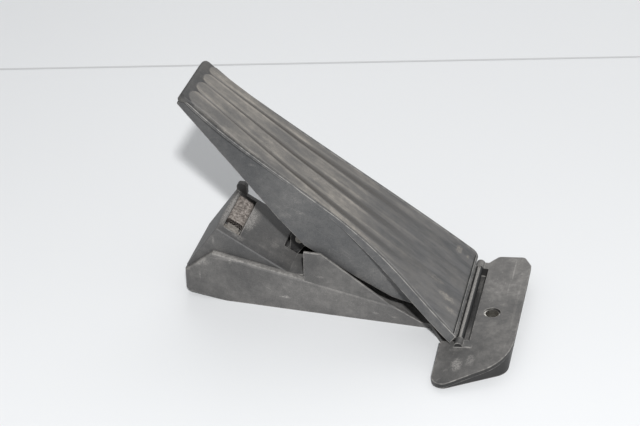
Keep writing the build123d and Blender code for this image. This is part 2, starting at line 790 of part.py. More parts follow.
def foot_outline(inset, corner_r):
    """The foot plate's plan: a straight outer edge, a round corner and a slanting near lobe."""
    near = face_of([
        (FOOT_INNER_X, FOOT_SPLIT_Y),
        (FOOT_LOBE_X, FOOT_SPLIT_Y),
        (FOOT_LOBE_X, FOOT_NEAR_Y),
        (FOOT_OUTER_X, FOOT_CORNER_Y),
        (FOOT_OUTER_X, FOOT_FAR_Y - FOOT_FAR_CUT),
        (FOOT_OUTER_X - FOOT_FAR_SLANT, FOOT_FAR_Y),
        (FOOT_INNER_X + FOOT_EAR_X, FOOT_FAR_Y),
        (FOOT_INNER_X - FOOT_EAR_BULGE, FOOT_FAR_Y - FOOT_EAR_DROP),
        (FOOT_INNER_X, FOOT_FAR_Y - FOOT_EAR_L),
    ])
    near = fillet(near.vertices().sort_by(Axis.Y)[0], FOOT_TOE_R)
    near = fillet(near.vertices().group_by(Axis.X)[-1].sort_by(Axis.Y)[0], corner_r)
    outer_far = near.vertices().group_by(Axis.X)[-1].sort_by(Axis.Y)[-1:]
    near = fillet(outer_far + near.vertices().group_by(Axis.Y)[-1], FOOT_FAR_R)
    return offset(near, -inset) if inset else near


def foot_column(inset):
    """A block in the foot's plan whose corner is sharper on the floor than under the lid."""
    top_z = 2 * FOOT_OUTER_Z
    lid_share = FOOT_OUTER_Z / top_z
    top_r = FOOT_BASE_R + (FOOT_TOP_R - FOOT_BASE_R) / lid_share
    top = Pos(0, 0, top_z) * foot_outline(inset, top_r)
    return loft([foot_outline(inset, FOOT_BASE_R), top], ruled=True)


def under_foot_top(drop):
    """Everything below the foot plate's bent top, lowered by a given amount."""
    far_y = FOOT_FAR_Y + OVER
    near_y = FOOT_NEAR_Y - OVER
    fall = (FOOT_SPLIT_Y - near_y) * tan(radians(FOOT_BEND))
    low = -3 * FOOT_OUTER_Z
    section = face_of([(far_y, low), (far_y, 0), (FOOT_SPLIT_Y, 0), (near_y, -fall), (near_y, low)])
    wedge = extrude(Plane.YZ * section, 2 * FOOT_OUTER_X, both=True)
    return Pos(FOOT_INNER_X, 0, FOOT_INNER_Z - drop) * Rot(0, -FOOT_TILT, 0) * wedge


def foot_plate():
    """The foot plate: a bent lid with a lip, over an inset skirt and ribs."""
    tall = 2 * FOOT_OUTER_Z
    below = under_foot_top(FOOT_LIP)
    lid = (extrude(foot_outline(0, FOOT_TOP_R), tall) & under_foot_top(0)) - below
    skirt = foot_column(FOOT_INSET) & below
    hollow = foot_column(FOOT_INSET + FOOT_WALL) & below
    ribs = None
    for y in FOOT_RIBS_Y:
        rib = block((FOOT_LOBE_X, y - RIB_T / 2, 0), (FOOT_OUTER_X, y + RIB_T / 2, tall))
        ribs = rib if ribs is None else ribs + rib
    boss = rod_z(BOLT_HOLE_D / 2 + SLEEVE_WALL + FOOT_WALL, BOLT_X, BOLT_Y, 0, tall)
    return lid + (skirt - hollow) + ((ribs + boss) & hollow)


def hinge_lug(low_y):
    """One lug of the hinge, a round-topped post on the floor."""
    high_y = low_y + LUG_LENGTH
    post = block((-LUG_R, low_y, 0), (LUG_R, high_y, HINGE_Z))
    shoulder = block((0, low_y, 0), (FOOT_INNER_X + FOOT_WALL, high_y, FOOT_INNER_Z))
    return post + shoulder + rod_y(LUG_R, 0, HINGE_Z, low_y, high_y)


def bearing_post(low_y):
    """A post on the floor that carries one bush of the lever's shaft."""
    post = block((SHAFT_X - POST_W / 2, low_y, FLOOR_RIB), (SHAFT_X + POST_W / 2, low_y + POST_T, SHAFT_Z))
    post += rod_y(POST_W / 2, SHAFT_X, SHAFT_Z, low_y, low_y + POST_T)
    return post - rod_y(BUSH_R, SHAFT_X, SHAFT_Z, low_y - OVER, low_y + POST_T + OVER)


def cover_screw_spots():
    """Centres of the four screws that hold the cover from below."""
    inset = COVER_T + BOSS_D / 2 - BOSS_LAP
    return [(x, y)
            for x in (TRAY_RISE_X - COVER_SCREW_NEAR, SHELF_END_X - COVER_SCREW_FAR)
            for y in (COVER_NEAR_Y + inset, COVER_FAR_Y - inset)]


BUSH_R = SHAFT_D / 2 + SHAFT_PLAY + BUSH_WALL
FAR_POST_Y = LEVER_Y + HUB_W / 2 + WASHER_T + END_PLAY
NEAR_POST_Y = COVER_NEAR_Y + COVER_T + POST_GAP
SPIGOT_Y = NEAR_POST_Y + POST_T + BUSH_FLANGE + SPIGOT_PLAY
SPRING_BAND = (LEVER_Y - HUB_W / 2 - SPIGOT_Y) / 2 - SPRING_SPACE
SPRING_TURNS = (SPRING_BAND - SPRING_WIRE) / SPRING_PITCH
MAGNET_Y = FAR_POST_Y + POST_T + BUSH_FLANGE + END_PLAY
CHIP_Y = MAGNET_Y + MAGNET_T + SENSOR_GAP


def base_housing():
    """Tray, hinge lugs and foot plate in one moulding."""
    tray = tray_solid() - tray_hollow() + gusset() + mirror_tray(gusset())
    lid_low_x = LID_X - LID_L / 2 - LID_NOTCH
    lid_high_x = LID_X + LID_L / 2 + LID_NOTCH
    lid_low_z = LID_Z - LID_H / 2 - LID_NOTCH
    tray -= block((lid_low_x, COVER_FAR_Y, lid_low_z), (lid_high_x, TRAY_WIDTH + OVER, GUSSET_Z))
    base = tray + foot_plate() + extrude(hinge_floor(), FLOOR_TOP)
    for low_y in (NEAR_LUG_Y, FAR_LUG_Y - LUG_LENGTH):
        base += hinge_lug(low_y)
    for low_y in (NEAR_POST_Y, FAR_POST_Y):
        base += bearing_post(low_y)
    for pocket in floor_pockets():
        base -= pocket
    for x, y in cover_screw_spots():
        base += rod_z(SCREW_HEAD_D / 2 + BOSS_WALL, x, y, 0, FLOOR_TOP, SCREW_SIDES)
        base -= rod_z(SCREW_D / 2 + SCREW_CLEAR, x, y, -OVER, FLOOR_TOP + OVER, SCREW_SIDES)
        base -= rod_z(SCREW_HEAD_D / 2 + SCREW_CLEAR, x, y, -OVER, FLOOR_TOP - SCREW_SEAT, SCREW_SIDES)
    base -= rod_y(PIN_D / 2, 0, HINGE_Z, NEAR_LUG_Y + LUG_END, FAR_LUG_Y + OVER)
    base -= rod_z(BOLT_HOLE_D / 2 + SLEEVE_WALL, BOLT_X, BOLT_Y, -OVER, 2 * FOOT_OUTER_Z)
    return base


def foot_top_at(x):
    """Height of the foot plate's flat part at an x."""
    return FOOT_INNER_Z + (x - FOOT_INNER_X) * tan(radians(FOOT_TILT))


def foot_sleeve():
    """The steel sleeve that takes the bolt's load."""
    outer_r = BOLT_HOLE_D / 2 + SLEEVE_WALL
    top = foot_top_at(BOLT_X - outer_r) - SLEEVE_SINK
    return rod_z(outer_r, BOLT_X, BOLT_Y, 0, top) - rod_z(BOLT_HOLE_D / 2, BOLT_X, BOLT_Y, -OVER, top + OVER)


def hinge_pin():
    """The steel pin through the pedal's barrel, from the closed near lug to the far lug's face."""
    pin = rod_y(PIN_D / 2, 0, HINGE_Z, NEAR_LUG_Y + LUG_END, FAR_LUG_Y)
    return chamfer(pin.edges().filter_by(GeomType.CIRCLE), PIN_BEVEL)


# Cover

def cover_profile():
    """The cover's side view: a steep end, the long slope and a short shelf."""
    end_x = TRAY_END_X + WALL + COVER_GAP
    lap_z = TRAY_END_Z + (WALL + COVER_GAP) * END_RIM_SLOPE + COVER_GAP
    return face_of([
        (TRAY_RISE_X, FLOOR_TOP),
        (end_x, floor_z(end_x)),
        (end_x, lap_z),
        (TRAY_END_X + COVER_SILL, lap_z),
        (COVER_TOP_X, COVER_TOP_Z),
        (SHELF_X, SHELF_Z),
        (SHELF_END_X, SHELF_Z),
        (SHELF_END_X, FLOOR_TOP),
    ])


def slope_plane():
    """A plane on the slope: x runs down it from the top edge, y across, z out of it."""
    a = radians(SLOPE)
    top_edge = (COVER_TOP_X, 0, COVER_TOP_Z)
    return Plane(origin=top_edge, x_dir=(cos(a), 0, -sin(a)), z_dir=(sin(a), 0, cos(a)))


def on_slope(low, high):
    """A box given in the slope's own directions."""
    return slope_plane().location * block(low, high)


def housing_cover():
    """The cover, with the stop's slot, the lever's opening and the sensor's window."""
    outer = slab_y(cover_profile(), COVER_NEAR_Y, COVER_FAR_Y)
    crown = [e for e in outer.edges() if e.center().Z > SHELF_Z + OVER and e.center().X < SHELF_X]
    outer = fillet(crown, COVER_EDGE_R)
    inside_near = COVER_NEAR_Y + COVER_T
    inside_far = COVER_FAR_Y - COVER_T
    inside = slab_y(offset(cover_profile(), -COVER_T), inside_near, inside_far)
    inside += block((TRAY_END_X + WALL + COVER_GAP + COVER_T, inside_near, 0),
                    (SHELF_END_X - COVER_T, inside_far, FLOOR_TOP + COVER_T + OVER))
    tub = on_slope((SLOT_START - SLOT_WALL, SLOT_NEAR_Y - SLOT_WALL, -SLOT_DEPTH - SLOT_WALL),
                   (SLOT_START + SLOT_W + SLOT_WALL, SLOT_FAR_Y + SLOT_WALL, -COVER_T / 2))
    cover = (outer - inside) + (tub & outer)
    for x, y in cover_screw_spots():
        boss = rod_z(BOSS_D / 2, x, y, FLOOR_TOP, BOSS_Z, SCREW_SIDES) & outer
        cover += boss
        cover -= rod_z(SCREW_D / 2 + SCREW_PLAY, x, y, 0, BOSS_Z - BOSS_CAP, SCREW_SIDES)
    lug = RectangleRounded(COVER_LUG_L, 2 * COVER_LUG_H, COVER_LUG_R)
    lug = Pos(COVER_TOP_X + COVER_LUG_L / 2, COVER_TOP_Z) * lug
    cover += slab_y(lug, COVER_FAR_Y - COVER_LUG_T, COVER_FAR_Y)
    cover -= on_slope((SLOT_START, SLOT_NEAR_Y, -SLOT_DEPTH), (SLOT_START + SLOT_W, SLOT_FAR_Y, SLOT_DEPTH))
    half = FORK_W / 2 + PIN_HEAD_T + OPENING_PLAY
    cover -= block((OPENING_START_X, LEVER_Y - half, SHELF_Z - OPENING_DEPTH),
                   (SHELF_END_X - OPENING_WALL, LEVER_Y + half, COVER_TOP_Z))
    half_l = LID_L / 2 - LID_LAP
    half_h = LID_H / 2 - LID_LAP
    cover -= block((LID_X - half_l, inside_far - OVER, LID_Z - half_h),
                   (LID_X + half_l, COVER_FAR_Y + OVER, LID_Z + half_h))
    for x, z in lid_screw_spots():
        cover -= rod_y(SCREW_D / 2 + SCREW_PLAY, x, z, inside_far - OVER, COVER_FAR_Y + OVER, SCREW_SIDES)
    return cover


def stop_buffer():
    """The rubber block in the slot that the pedal lands on at full travel."""
    far_y = SLOT_FAR_Y - STOP_FIT
    return on_slope((SLOT_START + STOP_FIT, far_y - BUFFER_L, -SLOT_DEPTH),
                    (SLOT_START + SLOT_W - STOP_FIT, far_y, BUFFER_PROUD))


def buffer_clip():
    """The catch at the near end of the slot that keeps the block in."""
    near_y = SLOT_NEAR_Y + STOP_FIT
    end = SLOT_START + SLOT_W
    foot = on_slope((SLOT_START + STOP_FIT, near_y, -SLOT_DEPTH),
                    (end - STOP_FIT, near_y + CLIP_L, -SLOT_DEPTH + CLIP_FOOT_T))
    tongue = on_slope((SLOT_START + CLIP_SIDE, near_y, -SLOT_DEPTH),
                      (end - CLIP_SIDE, near_y + CLIP_TONGUE_L, -CLIP_SINK))
    return foot + tongue


# Sensor lever and what turns with it

def drive_lever():
    """The cranked lever: a hub with a spring spigot, an arm under the cover and a fork."""
    prong_low = LEG_T / 2 + FORK_PLAY
    half = FORK_W / 2
    crank_x = OPENING_START_X + CRANK_X
    crank_z = SHAFT_Z + CRANK_Z
    side_x = FORK_R * cos(radians(FORK_LEAN))
    side_z = FORK_R * sin(radians(FORK_LEAN))
    arm = face_of([
        (SHAFT_X, SHAFT_Z + HUB_R * HUB_NECK),
        (crank_x - CRANK_BEND / 2, crank_z + ARM_DEPTH / 2),
        (ROLLER_X - side_x, ROLLER_Z + side_z),
        (ROLLER_X + side_x, ROLLER_Z - side_z),
        (crank_x + CRANK_BEND, crank_z - ARM_DEPTH / 2 + CRANK_SOLE),
        (SHAFT_X, SHAFT_Z - HUB_R * HUB_NECK),
    ])
    lever = slab_y(arm, LEVER_Y - half, LEVER_Y + half)
    lever += rod_y(FORK_R, ROLLER_X, ROLLER_Z, LEVER_Y - half, LEVER_Y + half)
    lever += rod_y(HUB_R, SHAFT_X, SHAFT_Z, LEVER_Y - HUB_W / 2, LEVER_Y + HUB_W / 2)
    lever += rod_y(SPIGOT_R, SHAFT_X, SHAFT_Z, SPIGOT_Y, LEVER_Y)
    (rest_s, rest_w), (full_s, full_w) = roller_path(0), roller_path(PEDAL_TRAVEL)
    leg_reach = ROLLER_R + ROLLER_GAP + LEG_WALL + hypot(full_s - rest_s, full_w - rest_w)
    lever -= rod_y(leg_reach + FORK_PLAY, ROLLER_X, ROLLER_Z, LEVER_Y - prong_low, LEVER_Y + prong_low)
    lever -= rod_y(ROLLER_PIN_D / 2, ROLLER_X, ROLLER_Z, 0, TRAY_WIDTH)
    return lever - rod_y(SHAFT_D / 2, SHAFT_X, SHAFT_Z, 0, TRAY_WIDTH)


def lever_shaft():
    """The steel shaft that the lever is pressed on."""
    return rod_y(SHAFT_D / 2, SHAFT_X, SHAFT_Z, NEAR_POST_Y - SHAFT_PROUD, MAGNET_Y + MAGNET_T)


def shaft_bush(low_y):
    """A plain flanged bush pressed into a post."""
    high_y = low_y + POST_T
    bush = rod_y(BUSH_R, SHAFT_X, SHAFT_Z, low_y, high_y)
    bush += rod_y(BUSH_R + BUSH_RIM, SHAFT_X, SHAFT_Z, high_y, high_y + BUSH_FLANGE)
    return bush - rod_y(SHAFT_D / 2 + SHAFT_PLAY, SHAFT_X, SHAFT_Z, low_y - OVER, high_y + BUSH_FLANGE + OVER)


def drive_roller():
    """The roller in the pedal's slot."""
    low_y = LEVER_Y - ROLLER_W / 2
    high_y = LEVER_Y + ROLLER_W / 2
    roller = rod_y(ROLLER_R, ROLLER_X, ROLLER_Z, low_y, high_y)
    return roller - rod_y(ROLLER_PIN_D / 2 + ROLLER_PLAY, ROLLER_X, ROLLER_Z, low_y - OVER, high_y + OVER)


def roller_pin():
    """The headed pin through the fork and the roller."""
    half = FORK_W / 2
    pin = rod_y(ROLLER_PIN_D / 2, ROLLER_X, ROLLER_Z, LEVER_Y - half, LEVER_Y + half)
    for low_y in (LEVER_Y - half - PIN_HEAD_T, LEVER_Y + half):
        pin += rod_y(PIN_HEAD_D / 2, ROLLER_X, ROLLER_Z, low_y, low_y + PIN_HEAD_T)
    return pin


def return_spring(low_y):
    """One torsion spring round the lever's spigot: a coil of short straights and a leg to the floor."""
    radius = SPIGOT_R + SPRING_GAP + SPRING_WIRE / 2
    start_y = low_y + SPRING_WIRE / 2
    steps = round(SPRING_TURNS * SPRING_STEPS)
    coil = []
    for k in range(steps + 1):
        turns = k / SPRING_STEPS
        a = radians(360 * turns)
        coil.append((SHAFT_X + radius * cos(a), start_y + SPRING_PITCH * turns, SHAFT_Z + radius * sin(a)))
    foot = (SHAFT_X + radius, start_y, FLOOR_TOP + SPRING_FOOT_GAP)
    path = Polyline(foot, *coil)
    section = Plane(origin=foot, z_dir=(0, 0, 1)) * RegularPolygon(SPRING_WIRE / 2, 8)
    return sweep(section, path=path, transition=Transition.RIGHT)


def friction_washer():
    """The washer between hub and far post that gives the pedal its drag."""
    low_y = LEVER_Y + HUB_W / 2
    high_y = low_y + WASHER_T
    ring = rod_y(HUB_R - WASHER_RIM, SHAFT_X, SHAFT_Z, low_y, high_y)
    return ring - rod_y(SHAFT_D / 2 + WASHER_PLAY, SHAFT_X, SHAFT_Z, low_y - OVER, high_y + OVER)


def rest_buffer():
    """The rubber bumper under the slope that stops the lever at rest."""
    a = radians(SLOPE)
    along = (REST_BUFFER_X - COVER_TOP_X) / cos(a)
    spot = slope_plane().location * Pos(along, LEVER_Y, -COVER_T - REST_BUFFER_L)
    return spot * Cylinder(REST_BUFFER_D / 2, REST_BUFFER_L, align=(Align.CENTER, Align.CENTER, Align.MIN))


# Sensor

def sensor_magnet():
    """The magnet on the end of the shaft."""
    ring = rod_y(MAGNET_R, SHAFT_X, SHAFT_Z, MAGNET_Y, MAGNET_Y + MAGNET_T)
    return ring - rod_y(SHAFT_D / 2, SHAFT_X, SHAFT_Z, MAGNET_Y - OVER, MAGNET_Y + MAGNET_T + OVER)


def sensor_chip():
    """The chip that reads the magnet."""
    return block((SHAFT_X - CHIP_L / 2, CHIP_Y, SHAFT_Z - CHIP_H / 2),
                 (SHAFT_X + CHIP_L / 2, CHIP_Y + CHIP_T, SHAFT_Z + CHIP_H / 2))


def lid_inner_y():
    """The inner face of the lid's plate, on its seal."""
    return COVER_FAR_Y + SEAL_T


def terminal_spots():
    """Places of the terminals along the socket."""
    first = -(TERMINALS - 1) / 2
    return [PLUG_X + (first + k) * TERMINAL_PITCH for k in range(TERMINALS)]


def terminal(x, low_y, high_y, play):
    """One square terminal along Y, or the hole that it passes with some play."""
    half = TERMINAL / 2 + play
    return block((x - half, low_y, LID_Z - half), (x + half, high_y, LID_Z + half))


def sensor_board():
    """The circuit board behind the lid."""
    low_y = CHIP_Y + CHIP_T
    high_y = low_y + BOARD_T
    board = block((LID_X - BOARD_L / 2, low_y, LID_Z - BOARD_H / 2),
                  (LID_X + BOARD_L / 2, high_y, LID_Z + BOARD_H / 2))
    for x in terminal_spots():
        board -= terminal(x, low_y - OVER, high_y + OVER, TERMINAL_PLAY)
    return board


def lid_screw_spots():
    """Centres of the lid's four screws."""
    inset = SCREW_HEAD_D / 2 + SCREW_RIM
    dx = LID_L / 2 - inset
    dz = LID_H / 2 - inset
    return [(LID_X + i * dx, LID_Z + j * dz) for i in (-1, 1) for j in (-1, 1)]


def lid_plate(low_y, high_y):
    """The lid's round-cornered plate between two y values."""
    return slab_y(Pos(LID_X, LID_Z) * RectangleRounded(LID_L, LID_H, LID_R), low_y, high_y)


def sensor_lid():
    """The lid with the connector's socket moulded on."""
    low_y = lid_inner_y()
    face_y = low_y + LID_T
    lid = lid_plate(low_y, face_y)
    board_back = CHIP_Y + CHIP_T + BOARD_T
    for side in (-1, 1):
        x = LID_X + side * (BOARD_L / 2 - BOARD_POST / 2)
        half = BOARD_POST / 2
        lid += block((x - half, board_back, LID_Z - half), (x + half, face_y, LID_Z + half))
    socket = Pos(PLUG_X, LID_Z) * RectangleRounded(PLUG_L, PLUG_H, PLUG_R)
    lid += slab_y(socket, low_y, face_y + PLUG_DEPTH)
    lid -= slab_y(offset(socket, -PLUG_WALL), face_y, face_y + PLUG_DEPTH + OVER)
    latch_z = LID_Z + PLUG_H / 2
    lid += block((PLUG_X - LATCH_L / 2, face_y, latch_z - LATCH_SINK),
                 (PLUG_X + LATCH_L / 2, face_y + LATCH_REACH, latch_z + LATCH_H))
    for x in terminal_spots():
        lid -= terminal(x, low_y - OVER, face_y + OVER, TERMINAL_PLAY)
    for x, z in lid_screw_spots():
        lid -= rod_y(SCREW_D / 2 + SCREW_CLEAR, x, z, low_y - OVER, face_y + OVER, SCREW_SIDES)
    return lid


def lid_seal():
    """The flat ring between the lid and the cover, round the window and inside the screws."""
    window_l = LID_L - 2 * LID_LAP
    window_h = LID_H - 2 * LID_LAP
    outer = RectangleRounded(window_l + 2 * SEAL_W, window_h + 2 * SEAL_W, SEAL_CORNER_R)
    inner = RectangleRounded(window_l, window_h, SEAL_CORNER_R - SEAL_W)
    return slab_y(Pos(LID_X, LID_Z) * (outer - inner), COVER_FAR_Y, COVER_FAR_Y + SEAL_T)


def connector_pins():
    """The terminals, from the board through the lid into the socket."""
    high_y = lid_inner_y() + LID_T + TERMINAL_REACH
    return [terminal(x, CHIP_Y + CHIP_T, high_y, 0) for x in terminal_spots()]


def lid_screws():
    """Four screws through the lid into the cover's wall."""
    face_y = lid_inner_y() + LID_T
    return [rod_y(SCREW_D / 2, x, z, COVER_FAR_Y - COVER_T, face_y, SCREW_SIDES)
            + rod_y(SCREW_HEAD_D / 2, x, z, face_y, face_y + SCREW_HEAD_T, SCREW_SIDES)
            for x, z in lid_screw_spots()]


def cover_screws():
    """Four screws from below into the cover's bosses."""
    seat = FLOOR_TOP - SCREW_SEAT
    tip = BOSS_Z - BOSS_CAP - SCREW_TIP_GAP
    return [rod_z(SCREW_D / 2, x, y, seat, tip, SCREW_SIDES)
            + rod_z(SCREW_HEAD_D / 2, x, y, seat - SCREW_HEAD_T, seat, SCREW_SIDES)
            for x, y in cover_screw_spots()]


# Writing out

NODES = {
    "base_housing": base_housing,
    "foot_sleeve": foot_sleeve,
    "hinge_pin": hinge_pin,
    "pedal_carrier": pedal_carrier,
    "pedal_tread": pedal_tread,
    "housing_cover": housing_cover,
    "stop_buffer": stop_buffer,
    "buffer_clip": buffer_clip,
    "drive_lever": drive_lever,
    "lever_shaft": lever_shaft,
    "shaft_bush_near": lambda: shaft_bush(NEAR_POST_Y),
    "shaft_bush_far": lambda: shaft_bush(FAR_POST_Y),
    "drive_roller": drive_roller,
    "roller_pin": roller_pin,
    "return_spring_near": lambda: return_spring(SPIGOT_Y + SPRING_SPACE / 2),
    "return_spring_far": lambda: return_spring(SPIGOT_Y + SPRING_BAND + SPRING_SPACE),
    "friction_washer": friction_washer,
    "rest_buffer": rest_buffer,
    "sensor_magnet": sensor_magnet,
    "sensor_board": sensor_board,
    "sensor_chip": sensor_chip,
    "sensor_lid": sensor_lid,
    "lid_seal": lid_seal,
    "connector_pins": connector_pins,
    "lid_screws": lid_screws,
    "cover_screws": cover_screws,
}

os.makedirs("parts", exist_ok=True)
TO_ORIGIN = Pos(-BOLT_X, -BOLT_Y, 0)
for name, make in NODES.items():
    made = make()
    pieces = made if isinstance(made, list) else [made]
    placed = [TO_ORIGIN * piece for piece in pieces]
    export_step(placed[0] if len(placed) == 1 else Compound(children=placed), f"parts/{name}.step")
print("lever turns", round(LEVER_RATIO, 4), "times as far as the pedal")
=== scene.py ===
import json
from math import cos, pi, radians, sin, sqrt

import bmesh
import bpy
import numpy as np
from bpy.props import FloatProperty, FloatVectorProperty, IntProperty, PointerProperty
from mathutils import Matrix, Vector, noise


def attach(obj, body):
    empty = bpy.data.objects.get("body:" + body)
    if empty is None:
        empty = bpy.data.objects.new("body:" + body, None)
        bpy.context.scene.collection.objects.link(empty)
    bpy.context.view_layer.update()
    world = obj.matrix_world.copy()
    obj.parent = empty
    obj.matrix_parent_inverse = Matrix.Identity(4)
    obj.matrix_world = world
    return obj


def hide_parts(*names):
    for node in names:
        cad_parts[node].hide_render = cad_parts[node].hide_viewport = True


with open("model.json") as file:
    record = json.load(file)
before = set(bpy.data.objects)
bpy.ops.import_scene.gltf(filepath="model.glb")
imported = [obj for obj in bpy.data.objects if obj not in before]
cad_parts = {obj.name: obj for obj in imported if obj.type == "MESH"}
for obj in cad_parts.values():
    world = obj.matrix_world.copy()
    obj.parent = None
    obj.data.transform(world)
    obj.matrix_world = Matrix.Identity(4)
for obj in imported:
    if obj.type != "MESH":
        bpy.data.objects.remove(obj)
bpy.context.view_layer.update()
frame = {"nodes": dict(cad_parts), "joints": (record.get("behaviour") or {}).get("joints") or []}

bl_info = {
    "name": "Dusty accelerator pedal",
    "version": (1, 0, 0),
    "blender": (4, 5, 0),
    "location": "View3D > Sidebar > Pedal",
    "description": "Dresses a floor-hinged accelerator pedal with its worn, dusty finishes",
    "category": "Object",
}

MM = 0.001
HINGE = next(j for j in frame["joints"] if j["name"] == "pedal_hinge")["pos_m"]
PEDAL_ANGLE = radians(35.0)
TIP_S = 230.4
HEEL_S = 5.4
PAD_TOP = 5.1
BED_W = 2.6


# Sizes and colours that a user would change

class TreadSettings(bpy.types.PropertyGroup):
    """The tread's soft ribs, in millimetres."""
    rib_depth: FloatProperty(
        name="Rib depth", description="Depth of the grooves between the tread's ribs",
        default=1.0, min=0.0, max=2.0)
    edge_round: FloatProperty(
        name="Edge rounding", description="Radius of the tread's edge", default=0.9, min=0.1, max=2.0)
    edge_gap: FloatProperty(
        name="Edge gap", description="Extra gap between the tread and the pedal's rim",
        default=0.3, min=0.0, max=1.0)
    finger_step: FloatProperty(
        name="Rib end step", description="Height of the ribs' round ends at the tip",
        default=0.45, min=0.0, max=1.0)
    rows: IntProperty(
        name="Rows", description="Mesh rows along the pad", default=320, min=40, max=600)
    columns: IntProperty(
        name="Columns", description="Mesh columns across the pad", default=190, min=20, max=300)


class FinishSettings(bpy.types.PropertyGroup):
    """Colours of the plastics, the rubber and the dust."""
    housing: FloatVectorProperty(
        name="Housing", description="Clean colour of the tray and foot plate", subtype="COLOR",
        default=(0.064, 0.063, 0.063), min=0.0, max=1.0)
    cover: FloatVectorProperty(
        name="Cover", description="Clean colour of the sensor cover", subtype="COLOR",
        default=(0.052, 0.052, 0.053), min=0.0, max=1.0)
    pedal: FloatVectorProperty(
        name="Pedal", description="Clean colour of the pedal's body", subtype="COLOR",
        default=(0.058, 0.060, 0.063), min=0.0, max=1.0)
    tread: FloatVectorProperty(
        name="Tread", description="Clean colour of the tread", subtype="COLOR",
        default=(0.112, 0.109, 0.105), min=0.0, max=1.0)
    dust: FloatVectorProperty(
        name="Dust", description="Colour of the dust on upward faces", subtype="COLOR",
        default=(0.285, 0.274, 0.260), min=0.0, max=1.0)
    bevel: FloatProperty(
        name="Edge softness", description="Radius of the moulded edges", subtype="DISTANCE",
        default=0.0011, min=0.0, max=0.005)


class StageSettings(bpy.types.PropertyGroup):
    """Table, light and camera."""
    table: FloatVectorProperty(
        name="Table", description="Colour of the table", subtype="COLOR",
        default=(0.79, 0.80, 0.81), min=0.0, max=1.0)
    key_power: FloatProperty(
        name="Key light", description="Power of the light from the front right", unit="POWER",
        default=50.0, min=0.0)
    back_power: FloatProperty(
        name="Back light", description="Power of the wide soft light behind", unit="POWER",
        default=12.5, min=0.0)
    fill: FloatProperty(
        name="Fill", description="Strength of the light from all round", default=0.35, min=0.0, max=5.0)
    lens: FloatProperty(
        name="Lens", description="Focal length of the camera", subtype="DISTANCE_CAMERA",
        default=88.79, min=10.0)


# Helpers

def pedal_point(s, y, w):
    """A point of the pedal at rest, from millimetres along, across and square to the pad."""
    x = -s * cos(PEDAL_ANGLE) + w * sin(PEDAL_ANGLE)
    z = s * sin(PEDAL_ANGLE) + w * cos(PEDAL_ANGLE)
    return Vector((HINGE[0] + x * MM, y * MM, HINGE[2] + z * MM))


def pedal_place(co):
    """Millimetres along, across and square to the pad of a point of the pedal at rest."""
    x = (co[0] - HINGE[0]) / MM
    z = (co[2] - HINGE[2]) / MM
    s = -x * cos(PEDAL_ANGLE) + z * sin(PEDAL_ANGLE)
    w = x * sin(PEDAL_ANGLE) + z * cos(PEDAL_ANGLE)
    return s, co[1] / MM, w


def smooth(low, high, value):
    """A soft step from 0 at low to 1 at high."""
    t = np.clip((value - low) / (high - low), 0.0, 1.0)
    return t * t * (3 - 2 * t)


def new_piece(name, mesh, material, body, node):
    """Put a finished mesh in the scene for the node that it stands for."""
    piece = bpy.data.objects.new(name, mesh)
    bpy.context.scene.collection.objects.link(piece)
    mesh.materials.clear()
    mesh.materials.append(material)
    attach(piece, body)
    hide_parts(node)


def shaded(colour, share):
    """A colour made darker or paler."""
    return tuple(c * share for c in colour)


def dress(material, *nodes):
    """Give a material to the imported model's own pieces."""
    for node in nodes:
        mesh = frame["nodes"][node].data
        mesh.materials.clear()
        mesh.materials.append(material)


def grid_border(grid):
    """The points round the edge of a grid, in order."""
    right = [row[-1] for row in grid[1:-1]]
    left = [row[0] for row in grid[-2:0:-1]]
    return [*grid[0], *right, *reversed(grid[-1]), *left]


def closed_sheet(name, mesh, grid, lowered):
    """A smooth mesh of a grid of points, with walls down to its lowered border and a floor."""
    for a, b in zip(grid[:-1], grid[1:]):
        for k in range(len(a) - 1):
            mesh.faces.new((a[k], a[k + 1], b[k + 1], b[k]))
    border = grid_border(grid)
    for k in range(len(border)):
        n = (k + 1) % len(border)
        mesh.faces.new((border[k], lowered[k], lowered[n], border[n]))
    mesh.faces.new(lowered)
    bmesh.ops.recalc_face_normals(mesh, faces=mesh.faces)
    made = bpy.data.meshes.new(name)
    mesh.to_mesh(made)
    mesh.free()
    made.shade_smooth()
    return made


